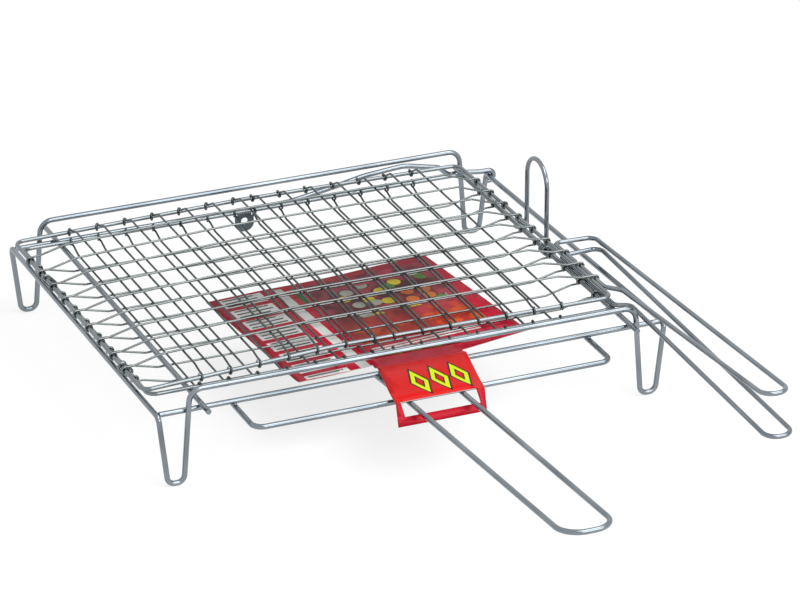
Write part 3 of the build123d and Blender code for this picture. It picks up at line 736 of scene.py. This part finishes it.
handle_loop(
    "upper_handle",
    "upper_grid",
    (base_x, UPPER_BASE_BACK, UPPER_BASE_FRONT, lambda y: between(y, right_side) - base_drop),
    (upper_high.x + UPPER_NEAR, upper_high.x + UPPER_FAR, UPPER_BASE_BACK - RING_WIRE, hinge_z + UPPER_NECK_RISE),
    (upper_high.x + UPPER_END_NEAR, upper_high.x + UPPER_END_FAR, low.y, high.z),
)

# %% [markdown]
# Rings of thinner wire hold things that turn or were tied on: two at the hinge side, three
# turns in a row at the right as a tie, and two that keep the bail's feet on the cross rod.
# Each ring is a slot shape round two rods, closed on itself.

# %% Rings
RUNNING_GAP = 0.0003
RING_STEPS = 12


def ring_loop(y, first, second, radius):
    """Closed slot shape round two points of the plane across Y."""
    first, second = Vector((first[0], y, first[1])), Vector((second[0], y, second[1]))
    along = (second - first).normalized()
    across = along.cross(BACK)
    points = []
    for centre, way in ((second, 1), (first, -1)):
        for k in range(RING_STEPS + 1):
            a = -pi / 2 + pi * k / RING_STEPS
            points.append(centre + radius * way * (along * cos(a) + across * sin(a)))
    return points


def ring_piece(name, first, second, radius, count=1):
    """One or more rings spread evenly along their node's box."""
    low, high = axis_box(name, RING_WIRE)
    step = (high.y - low.y) / max(1, count - 1)
    ys = [high.y - step * k for k in range(count)]
    chains = [ring_loop(y, first, second, radius) for y in ys]
    wire_piece(name, "lower_grid", chains, RING_WIRE, border_zinc, closed=True, sides=10)


bail_x = cross_x + (STAND_WIRE + HANDLE_WIRE) / 2 + RUNNING_GAP
hinge_reach = (BORDER_WIRE + RING_WIRE) / 2 + RUNNING_GAP
rod_reach = (STAND_WIRE + RING_WIRE) / 2 + 2 * WELD_GAP
for name in ("rear_hinge_ring", "front_hinge_ring"):
    ring_piece(name, (lower_low.x, lower_z), (upper_low.x, hinge_z), hinge_reach)
for name in ("rear_bail_ring", "front_bail_ring"):
    ring_piece(name, (cross_x, cross_z), (bail_x, cross_z), rod_reach)
ring_piece("side_tie", (lower_high.x, lower_z), (cross_x, cross_z), rod_reach, count=3)

# %% Locking bail
BAIL_PIN = 0.010
BAIL_CORNER = 0.0035
BAIL_FLAT = 0.0002
low, high = axis_box("locking_bail", HANDLE_WIRE)
front_y, back_y = low.y - HANDLE_WIRE / 2 + BAIL_PIN, high.y + HANDLE_WIRE / 2 - BAIL_PIN
arch_radius = (back_y - front_y - BAIL_FLAT) / 2
bail = [
    (bail_x, back_y + BAIL_PIN, low.z),
    (bail_x, back_y, low.z),
    (bail_x, back_y, high.z),
    (bail_x, front_y, high.z),
    (bail_x, front_y, low.z),
    (bail_x, front_y - BAIL_PIN, low.z),
]
bail_line = bent(bail, [BAIL_CORNER, arch_radius, arch_radius, BAIL_CORNER])
wire_piece("locking_bail", "bail", [bail_line], HANDLE_WIRE, rod_zinc)

# %% [markdown]
# The tab under the back of the lower grid is a pressed sheet with a raised rim round its
# hole, for hanging the basket on a hook. It is cut from a flat outline and given its
# thickness by a Solidify modifier, and a torus of half depth makes the rolled rim.

# %% Hanger tab
TAB_WIDTH, TAB_NECK, TAB_DROP, TAB_SHEET = 0.017, 0.0126, 0.0162, 0.001
TAB_HOLE_RADIUS, TAB_RIM, TAB_ROUND = 0.003, 0.0016, 0.007
TAB_HOLE_DROP = 0.0066
DISC_STEPS = 48


def mesh_piece(name, mesh_maker, finishes):
    """Object at the origin whose mesh is made by the given function."""
    shape = bmesh.new()
    mesh_maker(shape)
    mesh = bpy.data.meshes.new(name)
    shape.to_mesh(mesh)
    shape.free()
    for finish in finishes:
        mesh.materials.append(finish)
    piece = bpy.data.objects.new(name, mesh)
    bpy.context.scene.collection.objects.link(piece)
    return piece


def settle(piece, body, nodes):
    """Keep the modifiers' result as the piece's plain mesh, parent it to its body and hide its nodes."""
    graph = bpy.context.evaluated_depsgraph_get()
    made = bpy.data.meshes.new_from_object(piece.evaluated_get(graph))
    piece.modifiers.clear()
    piece.data = made
    belongs(piece, body, nodes)


low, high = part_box("hanger_tab")
tab_middle = Vector(((low.x + high.x) / 2, lower_high.y, 0))
tab_top = high.z
neck_z = under_hook - GRID_WIRE / 2 - RUNNING_GAP
round_z = tab_top - TAB_DROP + TAB_ROUND
hole_z = tab_top - TAB_HOLE_DROP


def tab_profile():
    """Outline of the tab in its plane, as (x, z) from the top of the neck."""
    right = [(TAB_NECK / 2, tab_top), (TAB_NECK / 2, neck_z), (TAB_WIDTH / 2, neck_z), (TAB_WIDTH / 2, round_z)]
    below = [
        (TAB_WIDTH / 2 * cos(a), round_z - TAB_ROUND * sin(a))
        for a in [pi * k / DISC_STEPS for k in range(1, DISC_STEPS)]
    ]
    return right + below + [(-x, z) for x, z in reversed(right)]


def tab_sheet(shape):
    """Flat sheet with a round hole, bridged from the outline to the hole's edge."""
    outline = [shape.verts.new(tab_middle + Vector((x, 0, z))) for x, z in tab_profile()]
    ring = [
        shape.verts.new(tab_middle + Vector((TAB_HOLE_RADIUS * cos(a), 0, hole_z + TAB_HOLE_RADIUS * sin(a))))
        for a in [tau * k / DISC_STEPS for k in range(DISC_STEPS)]
    ]
    edges = [shape.edges.new((a, b)) for a, b in zip(outline, outline[1:] + outline[:1])]
    edges += [shape.edges.new((a, b)) for a, b in zip(ring, ring[1:] + ring[:1])]
    bmesh.ops.triangle_fill(shape, use_beauty=True, edges=edges)
    bmesh.ops.recalc_face_normals(shape, faces=shape.faces)


tab = mesh_piece("hanger_tab_sheet", tab_sheet, [sheet_zinc])
sheet = tab.modifiers.new("sheet", "SOLIDIFY")
sheet.thickness = TAB_SHEET
sheet.offset = 0
edge = tab.modifiers.new("soft edge", "BEVEL")
edge.width = 0.0002
edge.segments = 2
edge.limit_method = "ANGLE"
settle(tab, "lower_grid", ["hanger_tab"])

rim_radius = TAB_HOLE_RADIUS + TAB_RIM / 2
rim_line = [
    tab_middle + Vector((rim_radius * cos(a), TAB_SHEET / 2, hole_z + rim_radius * sin(a)))
    for a in [tau * k / DISC_STEPS for k in range(DISC_STEPS)]
]
rim = edges_object("hanger_tab_rim", [rim_line], True)
run_tree(rim, round_wire, {"Radius": TAB_RIM / 2, "Sides": 12, "Material": sheet_zinc})
belongs(rim, "lower_grid", ["hanger_tab"])

# %% [markdown]
# The printed card is one sheet of board. It lies under the basket, climbs over the front
# rod as a tongue, and its end folds down with a window that lets the long handle through.
# Its flat outline is cut along many lines first, then every point is laid on the folded
# profile, so the folds come out round instead of sharp.

# %% Card: outline and folded profile
CARD_THICKNESS = 0.0005
CARD_DROP, CARD_RAMP, CARD_CLEARANCE = 0.003, 0.012, 0.0004
CARD_BACK = 0.030
CARD_PANEL = [(-0.026, -0.147), (-0.092, -0.158), (-0.105, 0.014), (0.0955, 0.029), (0.1135, -0.137), (0.050, -0.150)]
TONGUE_LEFT, TONGUE_RIGHT = -0.047, 0.028
FOLD_REACH, FOLD_DROP, FOLD_FORWARD = 0.0635, 0.013, 0.014
WINDOW_WIDTH, WINDOW_DROP = 0.064, 0.0078
FOLD_BEND = 0.0016

front_rod_y = axis_box("front_lower_rod", STAND_WIRE)[0].y
card_z = rail_z - CARD_DROP
tongue_z = rail_z + (STAND_WIRE + CARD_THICKNESS) / 2 + CARD_CLEARANCE
tongue_back = front_rod_y + STAND_WIRE
fold_y = front_rod_y - FOLD_REACH
handle_end_y = axis_box("long_handle", STAND_WIRE)[0].y
fold_z = tongue_z + (bar_y - fold_y) * HANDLE_RISE / (bar_y - handle_end_y)
profile = bent(
    [
        (0, CARD_BACK, card_z),
        (0, tongue_back + CARD_RAMP, card_z),
        (0, tongue_back, tongue_z),
        (0, bar_y, tongue_z),
        (0, fold_y, fold_z),
        (0, fold_y - FOLD_FORWARD, fold_z - FOLD_DROP),
    ],
    [0.020, 0.012, 0.060, FOLD_BEND],
)
runs = [0.0]
for a, b in zip(profile, profile[1:]):
    runs.append(runs[-1] + (b - a).length)


def on_profile(run):
    """Point of the folded profile at a length along it, and on past its last point."""
    for k in range(len(runs) - 1):
        if run <= runs[k + 1] or k == len(runs) - 2:
            share = (run - runs[k]) / (runs[k + 1] - runs[k])
            return profile[k].lerp(profile[k + 1], share)


def run_at(y):
    """Length along the profile where it passes over y, for the part before the fold."""
    for k in range(len(runs) - 1):
        if y >= profile[k + 1].y:
            return runs[k] + (profile[k].y - y) / (profile[k].y - profile[k + 1].y) * (runs[k + 1] - runs[k])


fold_run = run_at(fold_y + FOLD_BEND)
card_outline = [(x, run_at(y)) for x, y in CARD_PANEL] + [(TONGUE_RIGHT, runs[-1]), (TONGUE_LEFT, runs[-1])]
print("card length along its folds:", runs[-1])

# %% Card: cut, fold and thicken
BOW = 0.0012
ACROSS_STEP = 0.006


def cut_lines(shape, point, normal):
    """Cut every face where the plane crosses it."""
    geometry = shape.verts[:] + shape.edges[:] + shape.faces[:]
    bmesh.ops.bisect_plane(shape, geom=geometry, plane_co=point, plane_no=normal, dist=1e-6)


def card_sheet(shape):
    """The card's outline, cut along its folds and its window and laid on the profile."""
    shape.faces.new([shape.verts.new((x, -run, 0)) for x, run in card_outline])
    window_top = fold_run
    window_bottom = window_top + FOLD_BEND + WINDOW_DROP * hypot(FOLD_DROP, FOLD_FORWARD) / FOLD_DROP
    for run in sorted(set(runs[1:-1] + [window_top, window_bottom])):
        cut_lines(shape, (0, -run, 0), (0, 1, 0))
    left, right = handle_x - WINDOW_WIDTH / 2, handle_x + WINDOW_WIDTH / 2
    first, last = min(x for x, run in card_outline), max(x for x, run in card_outline)
    columns = ceil((last - first) / ACROSS_STEP)
    for x in [left, right] + [first + ACROSS_STEP * k for k in range(1, columns)]:
        cut_lines(shape, (x, 0, 0), (1, 0, 0))
    opening = []
    for face in shape.faces:
        middle = face.calc_center_median()
        if left < middle.x < right and window_top < -middle.y < window_bottom:
            opening.append(face)
    bmesh.ops.delete(shape, geom=opening, context="FACES")
    for vert in shape.verts:
        spot = on_profile(-vert.co.y)
        lift = BOW * cos(vert.co.x * 30) * min(1.0, max(0.0, (spot.y - tongue_back) * 20))
        vert.co = Vector((vert.co.x, spot.y, spot.z - max(0.0, lift)))
    bmesh.ops.recalc_face_normals(shape, faces=shape.faces)
    if sum(face.normal.z * face.calc_area() for face in shape.faces) < 0:
        bmesh.ops.reverse_faces(shape, faces=shape.faces)
    for face in shape.faces:
        face.smooth = True

# %% [markdown]
# The card's print is laid out in millimetres along its own two edges, so the pattern needs
# no picture: two dot products of the object coordinates give the place across and down the
# card, and plain comparisons cut out label blocks, a pale strip and a warm picture field.
# The words, mark and figure that such a card carries are left off; ruled lines, rounds of
# food and a row of diamonds stand in their places.

# %% Node helpers for a print
CARD_ACROSS = Vector((0.9976, 0.0697, 0))
CARD_DOWN = Vector((0.0697, -0.9976, 0))
CARD_CORNER = Vector((-0.105, 0.014, 0))
MILLIMETRES = 1000.0


def along(tree, place, direction, origin):
    """Millimetres from the origin along a direction."""
    node = tree.nodes.new("ShaderNodeVectorMath")
    node.operation = "DOT_PRODUCT"
    tree.links.new(place, node.inputs[0])
    node.inputs[1].default_value = direction * MILLIMETRES
    return math_node(tree, "SUBTRACT", node.outputs["Value"], direction.dot(origin) * MILLIMETRES)


def inside(tree, value, low, high):
    """Mask that is 1 where a value lies between two numbers."""
    return math_node(
        tree,
        "MULTIPLY",
        math_node(tree, "GREATER_THAN", value, low),
        math_node(tree, "LESS_THAN", value, high),
    )


def box_mask(tree, across, down, left, right, top, bottom):
    """Mask of a rectangle on the card."""
    return math_node(tree, "MULTIPLY", inside(tree, across, left, right), inside(tree, down, top, bottom))


def painted(tree, under, mask, colour):
    """A colour laid over another one where the mask is 1."""
    node = tree.nodes.new("ShaderNodeMix")
    node.data_type = "RGBA"
    tree.links.new(mask, node.inputs["Factor"])
    for label, value in (("A", under), ("B", colour)):
        if isinstance(value, bpy.types.NodeSocket):
            tree.links.new(value, node.inputs[label])
        else:
            node.inputs[label].default_value = (*value, 1)
    return node.outputs["Result"]


def repeat(tree, value, period, offset):
    """Share of the way through a repeating period."""
    shifted = math_node(tree, "SUBTRACT", value, offset)
    return math_node(tree, "FRACT", math_node(tree, "DIVIDE", shifted, period), 0.0)


# %% Printed face of the card
CRIMSON = (0.50, 0.006, 0.030)
SCARLET = (0.64, 0.004, 0.004)
FOLD_SHADE_RED = (0.52, 0.006, 0.022)
PAPER = (0.88, 0.89, 0.86)
INK = (0.012, 0.010, 0.012)
RULE = (0.06, 0.065, 0.065)
DEEP = (0.085, 0.014, 0.016)
EMBER = (0.42, 0.030, 0.018)
ROSE = (0.52, 0.050, 0.095)
YELLOW = (0.66, 0.80, 0.0)
LEAF = (0.03, 0.16, 0.03)
BLOCK_PITCH = 22.6

printed = bpy.data.materials.new("printed card face")
printed.use_nodes = True
tree = printed.node_tree
shader = tree.nodes["Principled BSDF"]
spot = tree.nodes.new("ShaderNodeTexCoord").outputs["Object"]
across = along(tree, spot, CARD_ACROSS, CARD_CORNER)
down = along(tree, spot, CARD_DOWN, CARD_CORNER)
mottle = noise(tree, spot, 30.0, 3.0)

row_place = repeat(tree, down, BLOCK_PITCH, 3.0)
blocks = box_mask(tree, across, down, 9.0, 47.0, 3.0, 168.0)
blocks = math_node(tree, "MULTIPLY", blocks, math_node(tree, "LESS_THAN", row_place, 0.74))
line_place = repeat(tree, down, BLOCK_PITCH / 4, 4.4)
ragged = math_node(tree, "ADD", 34.0, math_node(tree, "MULTIPLY", noise(tree, spot, 190.0, 0.0), 16.0))
ruled = math_node(tree, "MULTIPLY", inside(tree, across, 12.0, ragged), math_node(tree, "LESS_THAN", line_place, 0.36))
ruled = math_node(tree, "MULTIPLY", ruled, blocks)
strip = box_mask(tree, across, down, 56.5, 65.5, 4.0, 168.0)

colour = painted(tree, CRIMSON, remap(tree, mottle, 0.4, 0.7, 0.0, 0.35), (0.62, 0.010, 0.030))
colour = painted(tree, colour, blocks, PAPER)
colour = painted(tree, colour, ruled, RULE)
colour = painted(tree, colour, strip, (0.68, 0.69, 0.66))
print("label blocks and strip laid out")

# %% Picture field of the card
smoke = noise(tree, spot, 42.0, 4.0)
glow = noise(tree, spot, 75.0, 5.0)
picture = box_mask(tree, across, down, 80.0, 190.0, 9.0, 130.0)
field = painted(tree, DEEP, remap(tree, smoke, 0.42, 0.62, 0.0, 1.0), ROSE)
heat = remap(tree, down, 60.0, 118.0, 0.0, 1.0)
field = painted(tree, field, heat, EMBER)
flame = math_node(tree, "MULTIPLY", heat, remap(tree, glow, 0.5, 0.62, 0.0, 0.8))
field = painted(tree, field, flame, (0.70, 0.12, 0.02))

rounds = tree.nodes.new("ShaderNodeTexVoronoi")
rounds.voronoi_dimensions = "2D"
rounds.inputs["Scale"].default_value = 62.0
rounds.inputs["Randomness"].default_value = 0.75
tree.links.new(spot, rounds.inputs["Vector"])
food = tree.nodes.new("ShaderNodeValToRGB")
food.color_ramp.interpolation = "CONSTANT"
tints = [(0.0, (0.80, 0.62, 0.03)), (0.25, (0.62, 0.15, 0.03)), (0.45, (0.46, 0.47, 0.38)), (0.7, (0.10, 0.24, 0.04))]
while len(food.color_ramp.elements) < len(tints):
    food.color_ramp.elements.new(0.5)
for element, (position, tint) in zip(food.color_ramp.elements, tints):
    element.position = position
    element.color = (*tint, 1)
hue = tree.nodes.new("ShaderNodeSeparateColor")
tree.links.new(rounds.outputs["Color"], hue.inputs["Color"])
tree.links.new(hue.outputs["Red"], food.inputs["Fac"])
plate = box_mask(tree, across, down, 96.0, 182.0, 26.0, 84.0)
bites = math_node(tree, "MULTIPLY", plate, math_node(tree, "LESS_THAN", rounds.outputs["Distance"], 0.40))
rings = math_node(tree, "MULTIPLY", plate, inside(tree, rounds.outputs["Distance"], 0.36, 0.44))
field = painted(tree, field, bites, food.outputs["Color"])
field = painted(tree, field, rings, DEEP)
colour = painted(tree, colour, picture, field)
frame_edge = box_mask(tree, across, down, 78.5, 191.5, 7.5, 131.5)
frame_edge = math_node(tree, "SUBTRACT", frame_edge, picture)
colour = painted(tree, colour, frame_edge, (0.36, 0.008, 0.02))
for top in (139.0, 143.0):
    colour = painted(tree, colour, box_mask(tree, across, down, 80.0, 176.0, top, top + 2.2), PAPER)
colour = painted(tree, colour, box_mask(tree, across, down, 71.0, 77.0, 8.0, 40.0), LEAF)
print("picture field laid out")

# %% Tongue of the card and its row of diamonds
DIAMOND_PITCH, DIAMOND_STEEP = 17.0, 0.32
DIAMOND_CORNER = Vector((-0.0175, -0.201, 0))

tongue = math_node(tree, "GREATER_THAN", along(tree, spot, -BACK, Vector((0, tongue_back + CARD_RAMP / 2, 0))), 0.0)
colour = painted(tree, colour, tongue, SCARLET)
row_across = along(tree, spot, RIGHT, DIAMOND_CORNER)
rise = math_node(tree, "ABSOLUTE", along(tree, spot, -BACK, DIAMOND_CORNER), 0.0)
cell = math_node(tree, "SUBTRACT", repeat(tree, row_across, DIAMOND_PITCH, 0.0), 0.5)
side_step = math_node(tree, "MULTIPLY", math_node(tree, "ABSOLUTE", cell, 0.0), DIAMOND_PITCH)
reach = math_node(tree, "ADD", side_step, math_node(tree, "MULTIPLY", rise, DIAMOND_STEEP))
in_row = inside(tree, row_across, 0.0, 3 * DIAMOND_PITCH)
for size, tint in ((8.4, INK), (6.9, YELLOW), (3.6, INK), (2.4, SCARLET)):
    diamond = math_node(tree, "MULTIPLY", math_node(tree, "LESS_THAN", reach, size), in_row)
    colour = painted(tree, colour, diamond, tint)
# The folded end is painted a darker red: painted shade on the part that turns down and away from the lamps.
folded = math_node(tree, "GREATER_THAN", along(tree, spot, -BACK, Vector((0, fold_y, 0))), 0.0)
colour = painted(tree, colour, folded, FOLD_SHADE_RED)
print("diamonds laid out")

# %% Gloss of the printed face
tree.links.new(colour, shader.inputs["Base Color"])
tree.links.new(remap(tree, mottle, 0.3, 0.7, 0.28, 0.42), shader.inputs["Roughness"])
shader.inputs["Specular IOR Level"].default_value = 0.12
shader.inputs["Coat Weight"].default_value = 0.04
shader.inputs["Coat Roughness"].default_value = 0.15
paper_bump = tree.nodes.new("ShaderNodeBump")
paper_bump.inputs["Distance"].default_value = 0.0002
tree.links.new(noise(tree, spot, 120.0, 3.0), paper_bump.inputs["Height"])
tree.links.new(paper_bump.outputs["Normal"], shader.inputs["Normal"])

# %% Bare board of the card's back and edges
board = bpy.data.materials.new("bare board")
board.use_nodes = True
tree = board.node_tree
shader = tree.nodes["Principled BSDF"]
spot = tree.nodes.new("ShaderNodeTexCoord").outputs["Object"]
fibres = noise(tree, spot, 400.0, 4.0)
tree.links.new(painted(tree, (0.52, 0.50, 0.46), fibres, (0.68, 0.66, 0.62)), shader.inputs["Base Color"])
tree.links.new(remap(tree, fibres, 0.3, 0.7, 0.7, 0.9), shader.inputs["Roughness"])

# %% Card piece
card = mesh_piece("card_sheet", card_sheet, [printed, board])
board_depth = card.modifiers.new("board", "SOLIDIFY")
board_depth.thickness = CARD_THICKNESS
board_depth.offset = 0
board_depth.material_offset = 1
board_depth.material_offset_rim = 1
settle(card, "stand", ["card"])

# %% [markdown]
# Where two thick rods cross they were spot-welded, which leaves a small bright nugget in
# the corner between them. Geometry Nodes put one flattened ball on each point of a mesh.

# %% Weld nuggets
weld_tree, weld_in, weld_out = new_tree("weld nuggets", [("Size", "Vector"), ("Material", "Material")])
to_points = weld_tree.nodes.new("GeometryNodeMeshToPoints")
ball = weld_tree.nodes.new("GeometryNodeMeshIcoSphere")
ball.inputs["Radius"].default_value = 1.0
ball.inputs["Subdivisions"].default_value = 3
put = weld_tree.nodes.new("GeometryNodeInstanceOnPoints")
soft = weld_tree.nodes.new("GeometryNodeSetShadeSmooth")
real = weld_tree.nodes.new("GeometryNodeRealizeInstances")
paint = weld_tree.nodes.new("GeometryNodeSetMaterial")
for source, target in (
    (weld_in.outputs["Geometry"], to_points.inputs["Mesh"]),
    (to_points.outputs["Points"], put.inputs["Points"]),
    (ball.outputs["Mesh"], put.inputs["Instance"]),
    (weld_in.outputs["Size"], put.inputs["Scale"]),
    (put.outputs["Instances"], real.inputs["Geometry"]),
    (real.outputs["Geometry"], soft.inputs["Geometry"]),
    (soft.outputs["Geometry"], paint.inputs["Geometry"]),
    (weld_in.outputs["Material"], paint.inputs["Material"]),
    (paint.outputs["Geometry"], weld_out.inputs["Geometry"]),
):
    weld_tree.links.new(source, target)

under_front_rod = rail_z - STAND_WIRE / 2
joints = [(corner.x, front_rod_y, under_front_rod) for corner in axis_box("handle_bracket", STAND_WIRE)]
joints += [(handle_x + side * HANDLE_WIDTH / 2, front_rod_y, under_front_rod) for side in (-1, 1)]
joints += [(handle_x + side * HANDLE_WIDTH / 2, bar_y, under_front_rod) for side in (-1, 1)]
stand_welds = edges_object("stand_welds", [[Vector(p)] for p in joints], False)
run_tree(stand_welds, weld_tree, {"Size": (0.0021, 0.0021, 0.0009), "Material": rod_zinc})
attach(stand_welds, "stand")
print("nuggets:", len(joints))

# %% [markdown]
# The basket stands on a plain white floor. Both the floor and the world are lifted to
# white for rays from the camera and for reflections, while the lamps stay at a plain level,
# so the floor keeps the soft shadow. Two softboxes in front and above give the wires that
# run from side to side their bright streak; wires that run away from us mirror the back,
# and their dark look is painted dark reflection in their colour.

# %% Floor, world and softboxes
def seen_rays(tree):
    """1 for rays that look at the background, straight or through gloss or glass."""
    rays = tree.nodes.new("ShaderNodeLightPath")
    straight = math_node(tree, "MAXIMUM", rays.outputs["Is Camera Ray"], rays.outputs["Is Glossy Ray"])
    return math_node(tree, "MAXIMUM", straight, rays.outputs["Is Transmission Ray"])


FLOOR_HALF = 6.0
FLOOR_LIFT = 0.75
WORLD_LEVEL = 0.55

floor_mesh = bpy.data.meshes.new("floor")
corners = [(FLOOR_HALF * x, FLOOR_HALF * y, 0) for x, y in ((-1, -1), (1, -1), (1, 1), (-1, 1))]
floor_mesh.from_pydata(corners, [], [(0, 1, 2, 3)])
floor = bpy.data.objects.new("floor", floor_mesh)
bpy.context.scene.collection.objects.link(floor)
pale = bpy.data.materials.new("pale floor")
pale.use_nodes = True
tree = pale.node_tree
shader = tree.nodes["Principled BSDF"]
shader.inputs["Base Color"].default_value = (0.30, 0.30, 0.30, 1)
shader.inputs["Roughness"].default_value = 0.9
shader.inputs["Specular IOR Level"].default_value = 0.0
shader.inputs["Emission Color"].default_value = (1, 1, 1, 1)
tree.links.new(math_node(tree, "MULTIPLY", seen_rays(tree), FLOOR_LIFT), shader.inputs["Emission Strength"])
floor_mesh.materials.append(pale)

world = bpy.data.worlds.new("studio")
bpy.context.scene.world = world
world.use_nodes = True
tree = world.node_tree
fill = tree.nodes["Background"]
fill.inputs["Color"].default_value = (1, 1, 1, 1)
level = remap(tree, seen_rays(tree), 0.0, 1.0, WORLD_LEVEL, 1.0)
tree.links.new(level, fill.inputs["Strength"])


def softbox(name, direction, distance, width, height, watts):
    """Area lamp that faces the object from a direction."""
    data = bpy.data.lights.new(name, "AREA")
    data.shape = "RECTANGLE"
    data.size, data.size_y = width, height
    data.energy = watts
    lamp = bpy.data.objects.new(name, data)
    lamp.location = Vector(direction).normalized() * distance
    lamp.rotation_euler = (-lamp.location).to_track_quat("-Z", "Y").to_euler()
    bpy.context.scene.collection.objects.link(lamp)


softbox("front softbox", (0.36, -0.83, 0.42), 2.4, 2.2, 0.8, 22)
softbox("top softbox", (0.30, -0.35, 0.89), 2.4, 2.4, 1.15, 32)

# %% Camera
CAMERA_PLACE = (-1.3081, -3.1771, 1.6434)
CAMERA_AIM = (0.057408, -0.007605, 0.040)
CAMERA_LENS = 207.9

view = bpy.data.cameras.new("view")
view.lens = CAMERA_LENS
camera = bpy.data.objects.new("view", view)
camera.location = CAMERA_PLACE
camera.rotation_euler = (Vector(CAMERA_AIM) - camera.location).to_track_quat("-Z", "Y").to_euler()
bpy.context.scene.collection.objects.link(camera)
bpy.context.scene.camera = camera
bpy.context.scene.view_settings.view_transform = "Standard"
